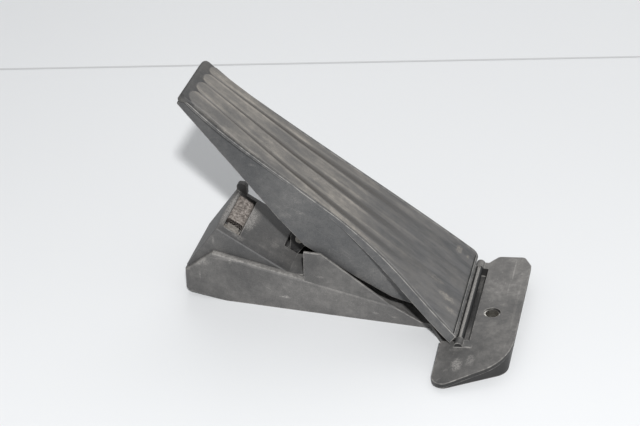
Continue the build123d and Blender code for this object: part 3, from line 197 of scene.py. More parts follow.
class Graph:
    """A material's node tree, with short calls that add and join nodes."""

    def __init__(self, name, roughness, metallic=0.0, specular=0.5):
        self.material = bpy.data.materials.new(name)
        self.material.use_nodes = True
        self.tree = self.material.node_tree
        self.tree.nodes.clear()
        output = self.tree.nodes.new("ShaderNodeOutputMaterial")
        self.shader = self.tree.nodes.new("ShaderNodeBsdfPrincipled")
        self.tree.links.new(self.shader.outputs["BSDF"], output.inputs["Surface"])
        self.shader.inputs["Roughness"].default_value = roughness
        self.shader.inputs["Metallic"].default_value = metallic
        self.shader.inputs["Specular IOR Level"].default_value = specular

    def add(self, kind, **settings):
        """A new node with some of its settings."""
        node = self.tree.nodes.new(kind)
        for key, value in settings.items():
            setattr(node, key, value)
        return node

    def feed(self, socket, value):
        """Join an output to a socket, or set the socket's own value."""
        if isinstance(value, bpy.types.NodeSocket):
            self.tree.links.new(value, socket)
        else:
            socket.default_value = value

    def millimetres(self):
        """The piece's own coordinates, in millimetres."""
        place = self.add("ShaderNodeTexCoord").outputs["Object"]
        return self.scaled(place, (1000.0, 1000.0, 1000.0))

    def scaled(self, vector, factors):
        """A vector times a factor on each axis."""
        node = self.add("ShaderNodeVectorMath", operation="MULTIPLY")
        self.feed(node.inputs[0], vector)
        node.inputs[1].default_value = factors
        return node.outputs[0]

    def turned(self, vector, angles, factors):
        """A vector turned by angles in degrees, then times a factor on each axis."""
        node = self.add("ShaderNodeMapping", vector_type="POINT")
        self.feed(node.inputs["Vector"], vector)
        node.inputs["Rotation"].default_value = [radians(a) for a in angles]
        return self.scaled(node.outputs["Vector"], factors)

    def axis(self, vector, name):
        """One of a vector's three values."""
        split = self.add("ShaderNodeSeparateXYZ")
        self.feed(split.inputs[0], vector)
        return split.outputs[name]

    def noise(self, vector, size, detail=4.0, roughness=0.55):
        """Soft noise whose features are about as large as size."""
        node = self.add("ShaderNodeTexNoise")
        self.feed(node.inputs["Vector"], vector)
        node.inputs["Scale"].default_value = 1.0 / size
        node.inputs["Detail"].default_value = detail
        node.inputs["Roughness"].default_value = roughness
        return node.outputs["Fac"]

    def remap(self, value, low, high, to_low=0.0, to_high=1.0):
        """A soft step of a value between two limits."""
        node = self.add("ShaderNodeMapRange", interpolation_type="SMOOTHSTEP")
        self.feed(node.inputs["Value"], value)
        node.inputs["From Min"].default_value = low
        node.inputs["From Max"].default_value = high
        node.inputs["To Min"].default_value = to_low
        node.inputs["To Max"].default_value = to_high
        return node.outputs["Result"]

    def math(self, operation, a, b=0.0):
        """One sum on two values, kept between 0 and 1 for additions."""
        node = self.add("ShaderNodeMath", operation=operation)
        node.use_clamp = operation == "ADD"
        self.feed(node.inputs[0], a)
        self.feed(node.inputs[1], b)
        return node.outputs[0]

    def product(self, first, *others):
        """Several values multiplied together."""
        for other in others:
            first = self.math("MULTIPLY", first, other)
        return first

    def total(self, first, *others):
        """Several values added up, never past 1."""
        for other in others:
            first = self.math("ADD", first, other)
        return first

    def most(self, first, *others):
        """The highest of several values."""
        for other in others:
            first = self.math("MAXIMUM", first, other)
        return first

    def own_value(self, name):
        """One of the piece's own values, from an attribute of its mesh."""
        return self.add("ShaderNodeAttribute", attribute_name=name).outputs["Fac"]

    def mix(self, factor, first, second):
        """A blend of two colours."""
        node = self.add("ShaderNodeMix", data_type="RGBA")
        self.feed(node.inputs[0], factor)
        for socket, value in ((node.inputs[6], first), (node.inputs[7], second)):
            self.feed(socket, value if isinstance(value, bpy.types.NodeSocket) else (*value, 1.0))
        return node.outputs[2]

    def facing(self, name):
        """How far a face looks along an axis, from -1 to 1."""
        return self.axis(self.add("ShaderNodeNewGeometry").outputs["Normal"], name)

    def soft_edges(self, radius):
        """Rounded normals at edges, and a mask of those edges."""
        bevel = self.add("ShaderNodeBevel", samples=8)
        bevel.inputs["Radius"].default_value = radius
        flat = self.add("ShaderNodeNewGeometry").outputs["True Normal"]
        dot = self.add("ShaderNodeVectorMath", operation="DOT_PRODUCT")
        self.feed(dot.inputs[0], bevel.outputs["Normal"])
        self.feed(dot.inputs[1], flat)
        return bevel.outputs["Normal"], self.remap(dot.outputs["Value"], 0.998, 0.93)

    def shifted(self, vector, size, distance):
        """A vector moved about by noise, to make outlines irregular."""
        node = self.add("ShaderNodeTexNoise")
        self.feed(node.inputs["Vector"], vector)
        node.inputs["Scale"].default_value = 1.0 / size
        centred = self.add("ShaderNodeVectorMath", operation="SUBTRACT")
        self.feed(centred.inputs[0], node.outputs["Color"])
        centred.inputs[1].default_value = (0.5, 0.5, 0.5)
        moved = self.add("ShaderNodeVectorMath", operation="ADD")
        self.feed(moved.inputs[0], vector)
        self.feed(moved.inputs[1], self.scaled(centred.outputs[0], (distance, distance, distance)))
        return moved.outputs[0]

    def mark(self, place, centre, size):
        """A soft patch round a point, with a size in millimetres on each axis."""
        moved = self.add("ShaderNodeVectorMath", operation="SUBTRACT")
        self.feed(moved.inputs[0], place)
        moved.inputs[1].default_value = centre
        near = self.scaled(moved.outputs[0], tuple(1.0 / s for s in size))
        length = self.add("ShaderNodeVectorMath", operation="LENGTH")
        self.feed(length.inputs[0], near)
        return self.remap(length.outputs["Value"], 1.0, 0.35)

    def bump(self, height, distance, normal=None):
        """Relief from a height, in metres, on top of a normal."""
        node = self.add("ShaderNodeBump")
        node.inputs["Strength"].default_value = 1.0
        node.inputs["Distance"].default_value = distance
        self.feed(node.inputs["Height"], height)
        if normal is not None:
            self.feed(node.inputs["Normal"], normal)
        self.feed(self.shader.inputs["Normal"], node.outputs["Normal"])


# Finishes

THIN_MARK = 2.0
SCRATCHES = (
    ((0.0, 18.0, 0.0), (0.035, 0.2, 1.9)),
    ((0.0, -32.0, 12.0), (0.05, 0.2, 1.6)),
    ((0.0, 0.0, 8.0), (1.9, 0.04, 0.2)),
)


def fine_scratches(g, place):
    """Sparse thin lines in three directions, from 0 to 1."""
    runs = [g.noise(g.turned(place, angles, factors), 1.0, 2.0, 0.5) for angles, factors in SCRATCHES]
    return g.total(*(g.remap(run, 0.68, 0.75) for run in runs))


def scuffs_and_highlights(g, place, grain, marks):
    """Pale broken patches at given places, each with a size in millimetres and a strength: scuff marks, and
    on the pedal's hinge barrel a painted highlight.
    """
    found = 0.0
    if not marks:
        return found
    rough = g.shifted(place, 2.4, 4.5)
    worn_through = g.remap(grain, 0.38, 0.6, 0.2, 1.0)
    for centre, size, strength in marks:
        thin = min(size) < THIN_MARK
        patch = g.mark(place if thin else rough, centre, size)
        found = g.total(g.product(patch, worn_through, strength), found)
    return found


def dusty_plastic(name, colour, dust_share, side_dust, marks=(), clean=None, ledge=None, unworn=None):
    """Grained black plastic under dust, with pale worn edges, fine scratches, and pale marks: scuff marks,
    and on the pedal's hinge barrel a painted highlight.

    Upright faces hold a share of the dust on level ones. clean gives a mask of places made darker and less
    dusty, partly painted shade and partly places that are simply darker; ledge one of places with more
    dust, and unworn one of places whose edges stay dark.
    """
    finish = bpy.context.scene.pedal_finish
    g = Graph(name, roughness=0.62, specular=0.4)
    place = g.millimetres()
    cloud = g.noise(place, 36.0, 6.0, 0.62)
    blotch = g.noise(place, 7.0, 6.0, 0.7)
    fleck = g.noise(place, 2.2, 5.0, 0.7)
    speck = g.noise(place, 0.9, 3.0, 0.6)
    grain = g.noise(place, 0.5, 3.0, 0.6)
    level = g.remap(g.facing("Z"), 0.0, 0.85, side_dust, 1.0)
    amount = g.product(
        level, g.remap(cloud, 0.32, 0.68, 0.4, 1.45), g.remap(blotch, 0.32, 0.68, 0.62, 1.32),
        g.remap(fleck, 0.3, 0.7, 0.8, 1.16), dust_share)
    amount = g.total(
        amount, g.product(fine_scratches(g, place), 0.24), g.remap(speck, 0.62, 0.76, 0.0, 0.26))
    shade = g.mix(g.remap(grain, 0.3, 0.7), shaded(colour, 0.72), shaded(colour, 1.28))
    # Painted shade: where the clean mask is high the dust is thinned and the colour darkened, standing in
    # for shade in the hinge grooves and on the foot's shaded sides.
    if clean is not None:
        darkened_and_shaded = clean(g, place)
        amount = g.product(amount, g.remap(darkened_and_shaded, 0.0, 1.0, 1.0, 0.12))
        shade = g.mix(darkened_and_shaded, shade, shaded(colour, 0.3))
    if ledge is not None:
        amount = g.total(amount, g.product(ledge(g, place), g.remap(fleck, 0.3, 0.65, 0.15, 0.6)))
    normal, edge = g.soft_edges(finish.bevel)
    if unworn is not None:
        edge = g.product(edge, g.remap(unworn(g, place), 0.0, 1.0, 1.0, 0.15))
    worn = g.product(edge, g.remap(blotch, 0.36, 0.6, 0.2, 0.85))
    amount = g.total(amount, worn, scuffs_and_highlights(g, place, speck, marks))
    g.feed(g.shader.inputs["Base Color"], g.mix(amount, shade, tuple(finish.dust)))
    g.feed(g.shader.inputs["Roughness"], g.remap(amount, 0.0, 0.6, 0.48, 0.85))
    g.bump(g.total(g.product(grain, 0.6), g.product(blotch, 0.4)), 0.00014, normal)
    return g.material


TREAD_MARKS = (
    ((218.0, 41.0, PAD_TOP), (4.0, 2.5, 3.0), 0.6),
    ((213.0, 44.0, PAD_TOP), (5.0, 1.0, 3.0), 0.4),
    ((20.5, 47.0, PAD_TOP), (3.0, 6.0, 3.0), 0.7),
    ((13.0, 46.0, PAD_TOP), (2.0, 3.0, 3.0), 0.6),
    ((19.0, -8.0, PAD_TOP), (8.0, 4.0, 3.0), 0.6),
    ((14.0, -18.0, PAD_TOP), (6.0, 2.5, 3.0), 0.5),
    ((30.0, 2.0, PAD_TOP), (10.0, 3.0, 3.0), 0.22),
    ((163.0, 14.0, PAD_TOP), (16.0, 9.0, 4.0), 0.3),
    ((128.0, 15.0, PAD_TOP), (22.0, 6.0, 4.0), 0.25),
)
TREAD_DUST = (0.305, 0.282, 0.252)
# Brown dirt in the grooves, made darker as painted shade of the recess.
GROOVE_DIRT_AND_SHADE = (0.062, 0.055, 0.047)
# Painted shade: the band past the ribs' ends at the tip, which rolls away from the light.
TIP_BAND_SHADE = (0.050, 0.050, 0.051)
HEEL_DARK = (0.062, 0.064, 0.067)
HEEL_PALE = (0.116, 0.116, 0.118)


def tread_rubber():
    """Dusty tread: beige dust beside the grooves with a painted highlight on their shoulders, brown dirt
    and painted shade in them, painted shade over the band at the tip, smoother towards the heel.
    """
    finish = bpy.context.scene.pedal_finish
    colour = tuple(finish.tread)
    g = Graph("tread_rubber", roughness=0.7, specular=0.35)
    place = g.add("ShaderNodeAttribute", attribute_name="pad_place").outputs["Vector"]
    groove, shoulder, heel, band = [g.own_value(key) for key in ("groove", "shoulder", "heel", "band")]
    cloud = g.noise(g.scaled(place, (0.5, 1.0, 1.0)), 16.0, 6.0, 0.66)
    streaks = g.noise(g.scaled(place, (0.05, 1.0, 1.0)), 1.7, 5.0, 0.62)
    smears = g.noise(g.scaled(place, (0.16, 1.0, 1.0)), 6.5, 6.0, 0.7)
    blotch = g.noise(place, 5.0, 6.0, 0.66)
    speck = g.noise(place, 0.9, 3.0, 0.6)
    grain = g.noise(place, 0.5, 3.0, 0.6)
    flat = g.product(g.remap(groove, 0.35, 0.0), g.remap(band, 0.0, 1.0, 1.0, 0.25))
    dusty = g.product(
        flat, g.remap(cloud, 0.34, 0.66, 0.04, 0.66), g.remap(streaks, 0.3, 0.7, 0.7, 1.2),
        g.remap(blotch, 0.3, 0.7, 0.6, 1.35), g.remap(heel, 0.0, 1.0, 1.0, 0.3))
    # Pale dust on the groove shoulders, partly a painted highlight on the crests.
    ridge_dust_and_highlight = g.product(shoulder, g.remap(streaks, 0.3, 0.65, 0.12, 0.5))
    dusty = g.total(
        dusty, ridge_dust_and_highlight, g.remap(speck, 0.62, 0.78, 0.0, 0.3), scuffs_and_highlights(g, place, speck, TREAD_MARKS))
    # Groove colour: brown dirt, partly painted shade of the recess.
    dirt_and_shade = g.product(groove, g.remap(smears, 0.3, 0.7, 0.55, 1.0))
    shade = g.mix(g.remap(grain, 0.3, 0.7), shaded(colour, 0.85), shaded(colour, 1.15))
    shade = g.mix(heel, shade, g.mix(g.remap(smears, 0.32, 0.68), HEEL_DARK, HEEL_PALE))
    # Painted shade over the band at the tip.
    shade = g.mix(band, shade, TIP_BAND_SHADE)
    shade = g.mix(dirt_and_shade, shade, GROOVE_DIRT_AND_SHADE)
    g.feed(g.shader.inputs["Base Color"], g.mix(dusty, shade, TREAD_DUST))
    g.feed(g.shader.inputs["Roughness"], g.remap(dusty, 0.0, 0.7, 0.52, 0.85))
    g.bump(g.total(g.product(grain, 0.6), g.product(streaks, 0.5)), 0.0001)
    return g.material


def worn_steel(name, colour, roughness):
    """Dull steel with fine turning marks and darker stains."""
    g = Graph(name, roughness=roughness, metallic=1.0)
    place = g.millimetres()
    stain = g.remap(g.noise(place, 2.2, 5.0, 0.6), 0.45, 0.7)
    fine = g.noise(g.scaled(place, (1.0, 0.2, 1.0)), 0.25, 2.0)
    bright = g.mix(g.remap(fine, 0.3, 0.7), shaded(colour, 0.85), colour)
    g.feed(g.shader.inputs["Base Color"], g.mix(stain, bright, shaded(colour, 0.45)))
    g.feed(g.shader.inputs["Roughness"], g.remap(stain, 0.0, 1.0, roughness, min(roughness + 0.3, 1.0)))
    g.bump(fine, 0.00002)
    return g.material


def matted_lint(name, colour, deep):
    """Lumpy felted dust: warm high fibres over a brown ground, with painted shade making the faces towards
    the near side near black.
    """
    g = Graph(name, roughness=0.95, specular=0.1)
    place = g.millimetres()
    lump = g.noise(place, 2.4, 6.0, 0.68)
    fibre = g.noise(g.scaled(place, (1.0, 0.35, 1.0)), 0.45, 4.0, 0.7)
    high = g.product(g.remap(lump, 0.35, 0.68), g.remap(fibre, 0.3, 0.65, 0.55, 1.0))
    # Painted shade: faces that look to the near side are made near black.
    near_side_shade = g.remap(g.facing("Y"), -0.6, -0.85)
    felt = g.mix(near_side_shade, g.mix(high, deep, colour), shaded(deep, 0.1))
    g.feed(g.shader.inputs["Base Color"], felt)
    g.bump(g.total(g.product(lump, 0.7), g.product(fibre, 0.3)), 0.0006)
    return g.material


def small_part(name, colour, roughness, metallic=0.0):
    """A clean small part with a faint grain of its own."""
    g = Graph(name, roughness=roughness, metallic=metallic)
    grain = g.noise(g.millimetres(), 0.8, 4.0, 0.6)
    tone = g.mix(g.remap(grain, 0.3, 0.7), shaded(colour, 0.85), shaded(colour, 1.15))
    g.feed(g.shader.inputs["Base Color"], tone)
    g.bump(grain, 0.00003)
    return g.material


# Tread

# Lengths are in millimetres. Names with S are places along the pad, counted from the hinge.
# The grooves' Y is counted from the tray's near face.
BED_SLACK = 0.05
GROOVE_S = (38.0, 80.0, 130.0, 222.0)
GROOVE_DEPTH_SHARE = (0.0, 0.55, 0.95, 1.0)
GROOVE_HALF_WIDTH = (7.0, 5.2, 3.0, 1.0)
GROOVE_HEEL_Y = (2.0, 28.0, 54.0)
GROOVE_TIP_Y = (23.5, 36.0, 47.5)
TRAY_NEAR_Y = -10.6
SHOULDER_W = 1.6
HEEL_FADE_S = (35.0, 135.0)
STRAIGHT_END_S = 214.0
FINGER_END_S = 227.2
FINGER_END_LEAN = 0.06
FINGER_SOFT = 0.6
EDGE_FALL = 0.8
TREAD_END_S = 231.2
END_MARGIN = 0.02
TIP_CORNER_R = 4.5
NOSE_S = 222.4
NOSE_R = 9.0
RIM_TOP = 4.6
SKIN_S = 220.4
BED_END_S = 221.4
NOSE_SKIN = 0.12
NOSE_SINK = 0.3
TIP_LIFT = 2.2
TIP_LIFT_S = (150.0, 231.0)
TIP_ROLL_S = 228.2
TIP_ROLL_R = 4.0
LIP_LOW = 0.8
FINE_ROWS_S = 206.0
COLUMN_CROWD = 0.12


def tread_outline():
    """Near and far edge of the tread along the pad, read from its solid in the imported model."""
    mesh = frame["nodes"]["pedal_tread"].data
    places = np.array([pedal_place(v.co) for v in mesh.vertices])
    floor = places[np.abs(places[:, 2] - BED_W) < BED_SLACK]
    middle = (floor[:, 1].min() + floor[:, 1].max()) / 2
    edges = []
    for side in (floor[floor[:, 1] < middle], floor[floor[:, 1] > middle]):
        order = np.argsort(side[:, 0])
        edges.append((side[order, 0], side[order, 1]))
    return edges


def groove_lines(s):
    """Places across the pad of the three grooves, which draw together towards the tip."""
    share = (s - HEEL_S) / (TIP_S - HEEL_S)
    return [TRAY_NEAR_Y + heel + (tip - heel) * share for heel, tip in zip(GROOVE_HEEL_Y, GROOVE_TIP_Y)]


def groove_shape(s, y):
    """How deep in a groove a point is, from 0 to 1, and how near to a groove's shoulder."""
    half = np.interp(s, GROOVE_S, GROOVE_HALF_WIDTH)
    fade = np.interp(s, GROOVE_S, GROOVE_DEPTH_SHARE)
    depth = 0.0
    shoulder = 0.0
    for line in groove_lines(s):
        off = abs(y - line)
        depth = max(depth, 0.5 + 0.5 * cos(pi * min(off / half, 1.0)))
        shoulder = max(shoulder, 1.0 - min(abs(off - half - SHOULDER_W / 2) / SHOULDER_W, 1.0))
    return depth * fade, shoulder * fade


def finger_end(s, y, near, far):
    """1 on the band past the ribs' round ends, 0 on the ribs."""
    bounds = [near, *groove_lines(s), far]
    for low, high in zip(bounds[:-1], bounds[1:]):
        if low <= y <= high:
            radius = (high - low) / 2
            off = min(abs(y - (low + high) / 2), radius)
            end = FINGER_END_S - FINGER_END_LEAN * y - (radius - sqrt(radius ** 2 - off ** 2))
            return float(smooth(end - FINGER_SOFT, end + FINGER_SOFT, s))
    return 0.0


def roll_drop(s, start, radius):
    """How far a surface that rolls down from a place along the pad has dropped."""
    return radius - sqrt(radius ** 2 - max(s - start, 0.0) ** 2)


def nose_top(s):
    """Height of the pedal's own nose, below the tread's lip."""
    return RIM_TOP - roll_drop(s, NOSE_S, NOSE_R)


def straight_edge(along, across, s):
    """One edge of the tread, carried on past the solid's corner to the round corner at the tip."""
    keep = along < STRAIGHT_END_S
    along = along[keep]
    across = across[keep]
    if s < along[-1]:
        y = float(np.interp(s, along, across))
    else:
        y = float(np.polyval(np.polyfit(along[-2:], across[-2:], 1), s))
    past = max(s - (TREAD_END_S - TIP_CORNER_R), 0.0)
    inset = TIP_CORNER_R - sqrt(TIP_CORNER_R ** 2 - past ** 2)
    return y, inset


def tread_height(settings, s, groove, band, edge):
    """Height of the tread's top: ribs and band, the rise and roll at the tip, and the round edges."""
    inward = min(max(1.0 - edge / settings.edge_round, 0.0), 1.0)
    w = PAD_TOP - settings.rib_depth * groove * (1 - band) - settings.finger_step * band
    w += TIP_LIFT * float(np.interp(s, TIP_LIFT_S, (0.0, 1.0))) - roll_drop(s, TIP_ROLL_S, TIP_ROLL_R)
    w -= settings.edge_round * EDGE_FALL * (1 - sqrt(1 - inward ** 2))
    return max(w, nose_top(s) + NOSE_SKIN) if s > SKIN_S else w


def tread_floor(s):
    """Height of the tread's underside: its bed, then just inside the pedal's nose."""
    return BED_W if s < BED_END_S else max(nose_top(s) - NOSE_SINK, LIP_LOW)


def tread_lines(settings, heel_s, tip_s):
    """Places of the mesh's rows along the pad, finer at the tip, and of its columns, finer at the edges."""
    fine = settings.rows // 4
    along = np.concatenate((
        np.linspace(heel_s, FINE_ROWS_S, settings.rows - fine, endpoint=False),
        np.linspace(FINE_ROWS_S, tip_s, fine)))
    across = np.linspace(0.0, 1.0, settings.columns)
    return along, across - COLUMN_CROWD * np.sin(2 * pi * across) / (2 * pi)


def tread_mesh(settings):
    """The tread as one closed mesh with soft ribs and round edges, and a lip over the pedal's nose."""
    (near_s, near_y), (far_s, far_y) = tread_outline()
    heel_s = max(near_s.min(), far_s.min()) + settings.edge_gap
    tip_s = TREAD_END_S - END_MARGIN
    along, across = tread_lines(settings, heel_s, tip_s)
    mesh = bmesh.new()
    grid = []
    marks = {"pad_place": [], "groove": [], "shoulder": [], "band": []}
    for s in along:
        near, near_inset = straight_edge(near_s, near_y, s)
        far, far_inset = straight_edge(far_s, far_y, s)
        near += near_inset + settings.edge_gap
        far -= far_inset + settings.edge_gap
        row = []
        for v in across:
            y = near + (far - near) * v
            groove, shoulder = groove_shape(s, y)
            band = finger_end(s, y, near, far)
            edge = min(y - near, far - y, s - heel_s, tip_s - s)
            w = tread_height(settings, s, groove, band, edge)
            row.append(mesh.verts.new(pedal_point(s, y, w)))
            marks["pad_place"].append((s, y, w))
            marks["groove"].append(groove * (1 - band))
            marks["shoulder"].append(shoulder * (1 - band))
            marks["band"].append(band)
        grid.append(row)
    lowered = []
    for vert in grid_border(grid):
        s, y, _ = pedal_place(vert.co)
        low = tread_floor(s)
        lowered.append(mesh.verts.new(pedal_point(s, y, low)))
        marks["pad_place"].append((s, y, low))
        for key in ("groove", "shoulder", "band"):
            marks[key].append(0.0)
    made = closed_sheet("tread", mesh, grid, lowered)
    places = np.array(marks.pop("pad_place"))
    marks["heel"] = 1 - smooth(*HEEL_FADE_S, places[:, 0])
    made.attributes.new("pad_place", "FLOAT_VECTOR", "POINT").data.foreach_set("vector", places.ravel())
    for key, values in marks.items():
        made.attributes.new(key, "FLOAT", "POINT").data.foreach_set("value", np.array(values))
    return made


class PEDAL_OT_tread(bpy.types.Operator):
    """Make the ribbed rubber tread"""
    bl_idname = "pedal.tread"
    bl_label = "Tread"

    def execute(self, context):
        mesh = tread_mesh(context.scene.pedal_tread)
        new_piece("tread_ribbed", mesh, tread_rubber(), "pedal", "pedal_tread")
        return {"FINISHED"}


# Plastic bodies

LEVER_BLACK = (0.016, 0.016, 0.017)
HOUSING_MARKS = (
    ((-135.0, -10.6, 9.4), (5.5, 3.0, 0.8), 0.6),
    ((-134.0, -10.6, 9.8), (2.2, 3.0, 1.8), 0.6),
    ((-111.3, -10.1, 28.6), (3.0, 3.0, 1.3), 0.3),
    ((-74.0, -10.6, 6.4), (3.0, 3.0, 1.0), 0.45),
    ((-62.0, -10.6, 5.0), (2.5, 3.0, 0.8), 0.4),
    ((-192.8, -10.6, 17.9), (0.8, 3.0, 4.0), 0.4),
    ((-171.6, -10.6, 31.5), (1.4, 3.0, 2.6), 0.3),
    ((-192.0, -9.0, 28.5), (9.0, 6.0, 4.0), 0.4),
    ((-160.0, -10.0, 33.0), (34.0, 3.0, 1.6), 0.4),
    ((-12.5, 38.0, 4.0), (3.0, 12.0, 4.0), 0.35),
    ((-14.4, -53.9, 7.2), (4.5, 8.0, 5.0), 0.7),
    ((-6.5, -48.9, 8.7), (3.5, 7.0, 5.0), 0.45),
    ((-17.0, -40.0, 6.5), (7.0, 3.0, 4.0), 0.3),
    ((7.6, 50.0, 12.3), (0.7, 14.0, 3.0), 0.75),
    ((6.7, 28.0, 12.2), (0.6, 12.0, 3.0), 0.35),
    ((9.3, 62.0, 12.5), (8.0, 6.0, 4.0), 0.3),
    ((14.0, 10.0, 12.8), (1.2, 34.0, 3.0), 0.25),
    ((-118.0, -10.6, 15.0), (34.0, 4.0, 12.0), 0.1),
)
COVER_MARKS = (
    ((-184.2, -5.5, 43.5), (0.8, 3.0, 4.0), 0.4),
    ((-165.0, 28.0, 43.6), (6.0, 15.0, 6.0), 0.4),
    ((-168.5, -0.5, 45.4), (7.0, 4.0, 5.0), 0.5),
    ((-180.5, 18.0, 52.4), (4.5, 24.0, 5.0), 0.75),
    ((-166.6, 23.0, 44.4), (5.0, 15.0, 5.0), 0.8),
    ((-165.6, 15.0, 43.8), (4.0, 7.0, 4.0), 0.5),
    ((-147.0, 13.0, 34.0), (4.0, 6.0, 4.0), 0.35),
    ((-150.0, 4.0, 35.5), (14.0, 2.0, 8.0), 0.18),
    ((-180.0, 28.0, 51.8), (1.0, 20.0, 2.0), 1.2),
    ((-174.5, 0.4, 48.6), (7.0, 1.1, 5.0), 1.1),
    ((-168.0, 20.0, 44.8), (0.9, 22.0, 1.6), 0.8),
    ((-152.0, 12.0, 37.0), (5.0, 6.0, 4.0), 0.16),
    ((-146.0, 20.0, 33.5), (4.0, 5.0, 4.0), 0.18),
)
PEDAL_MARKS = (
    ((-156.1, -4.7, 103.7), (4.0, 4.0, 1.2), 0.25),
    ((-124.8, -6.8, 73.7), (4.0, 4.0, 2.0), 0.25),
    ((-134.9, -6.1, 70.3), (5.0, 4.0, 4.0), 0.16),
    ((-160.7, -7.7, 114.0), (7.0, 4.0, 4.0), 0.18),
    ((-128.0, -7.0, 84.0), (14.0, 4.0, 6.0), 0.12),
    ((-68.0, -6.6, 31.0), (34.0, 5.0, 16.0), 0.11),
    # Painted highlight: a pale strip along the top of the hinge barrel.
    ((-15.9, 12.0, 12.0), (1.3, 150.0, 1.6), 2.2),
)


def housing_darkening_and_shade(g, place):
    """Darker, less dusty places of the housing: painted shade on the foot's sides and in the hinge groove,
    and darker towards the foot's near lobe, on the gusset and towards the wall's left end.
    """
    on_foot = g.remap(g.axis(place, "X"), -32.0, -20.0)
    # Painted shade: the foot's sides, under the plate's lip, are darkened.
    side = g.product(on_foot, g.remap(g.facing("Z"), 0.75, 0.35))
    lobe = g.product(on_foot, g.remap(g.axis(place, "Y"), 45.0, -50.0, 0.0, 0.42))
    near_face = g.remap(g.facing("Y"), -0.6, -0.9)
    gusset = g.product(near_face, g.remap(g.axis(place, "Y"), -10.45, -10.25, 0.0, 0.22))
    wall_end = g.product(near_face, g.remap(g.axis(place, "X"), -130.0, -195.0, 0.0, 0.26))
    # Painted shade: the hinge groove is darkened.
    groove = g.mark(place, (-13.0, 20.0, 5.0), (8.0, 48.0, 9.0))
    return g.most(side, lobe, wall_end, gusset, groove)


def gusset_plate(g, place):
    """The near gusset behind the wall's outer face, without its upright front edge."""
    y = g.axis(place, "Y")
    behind_front = g.remap(g.axis(place, "X"), -114.0, -111.0)
    return g.product(g.remap(y, -10.5, -10.3), g.remap(y, -5.5, -6.5), behind_front)


def housing_ledge(g, place):
    """Dusty places of the housing: the ledge along the near wall."""
    level = g.remap(g.facing("Z"), 0.55, 0.9)
    near = g.remap(g.axis(place, "Y"), -5.0, -8.0)
    away_from_heel = g.remap(g.axis(place, "X"), -60.0, -90.0)
    return g.product(level, near, away_from_heel)


def pedal_darkening_and_shade(g, place):
    """Darker, less dusty places of the pedal: painted shade round the hinge barrel and in its grooves and,
    less so, darker on the skirts towards the tip.
    """
    # Painted shade: the hinge grooves either side of the barrel are darkened.
    barrel = g.mark(place, (-15.9, 14.0, 8.8), (8.0, 300.0, 7.0))
    return g.most(barrel, g.remap(g.axis(place, "X"), -110.0, -190.0, 0.0, 0.36))


class PEDAL_OT_bodies(bpy.types.Operator):
    """Finish the moulded plastic bodies"""
    bl_idname = "pedal.bodies"
    bl_label = "Plastic bodies"

    def execute(self, context):
        finish = context.scene.pedal_finish
        housing = dusty_plastic("housing_plastic", tuple(finish.housing), 0.40, 0.58, HOUSING_MARKS,
                                housing_darkening_and_shade, housing_ledge, gusset_plate)
        cover = dusty_plastic("cover_plastic", tuple(finish.cover), 0.19, 0.7, COVER_MARKS)
        pedal = dusty_plastic("pedal_plastic", tuple(finish.pedal), 0.19, 0.8, PEDAL_MARKS, pedal_darkening_and_shade)
        dress(housing, "base_housing")
        dress(cover, "housing_cover", "sensor_lid")
        dress(pedal, "pedal_carrier")
        dress(dusty_plastic("lever_plastic", LEVER_BLACK, 0.08, 0.5), "drive_lever")
        return {"FINISHED"}


# Stop block and catch

SLOPE_ANGLE = radians(30.0)
BLOCK_STEP = 0.35
BLOCK_CORNER = 1.6
LUMP_SCALE = 0.35
LUMP_SHARE = 0.3
WEAVE_ALONG = 1.9
WEAVE_ACROSS = 1.5
WEAVE_SHARE = 0.2
BLOCK_LUMP = 0.6
BLOCK_DIP = 0.5
BLOCK_SINK = 3.5
LINT_PALE = (0.50, 0.455, 0.42)
LINT_DEEP = (0.15, 0.13, 0.116)
CATCH_PALE = (0.36, 0.34, 0.31)
CATCH_DEEP = (0.17, 0.155, 0.14)
FIBRE_INPUTS = (
    ("Density", 2.6e6),
    ("Fibre length", 0.0014),
    ("Fibre radius", 0.00007),
)


def block_frame():
    """Limits of the stop block down the cover's slope and across it, and its top, in millimetres."""
    points = np.array([v.co for v in frame["nodes"]["stop_buffer"].data.vertices]) / MM
    along = points[:, 0] * cos(SLOPE_ANGLE) - points[:, 2] * sin(SLOPE_ANGLE)
    square = points[:, 0] * sin(SLOPE_ANGLE) + points[:, 2] * cos(SLOPE_ANGLE)
    return along.min(), along.max(), points[:, 1].min(), points[:, 1].max(), square.max()


def slope_point(along, y, square):
    """A point from millimetres down the cover's slope, across and square to it."""
    x = along * cos(SLOPE_ANGLE) + square * sin(SLOPE_ANGLE)
    z = -along * sin(SLOPE_ANGLE) + square * cos(SLOPE_ANGLE)
    return Vector((x, y, z)) * MM


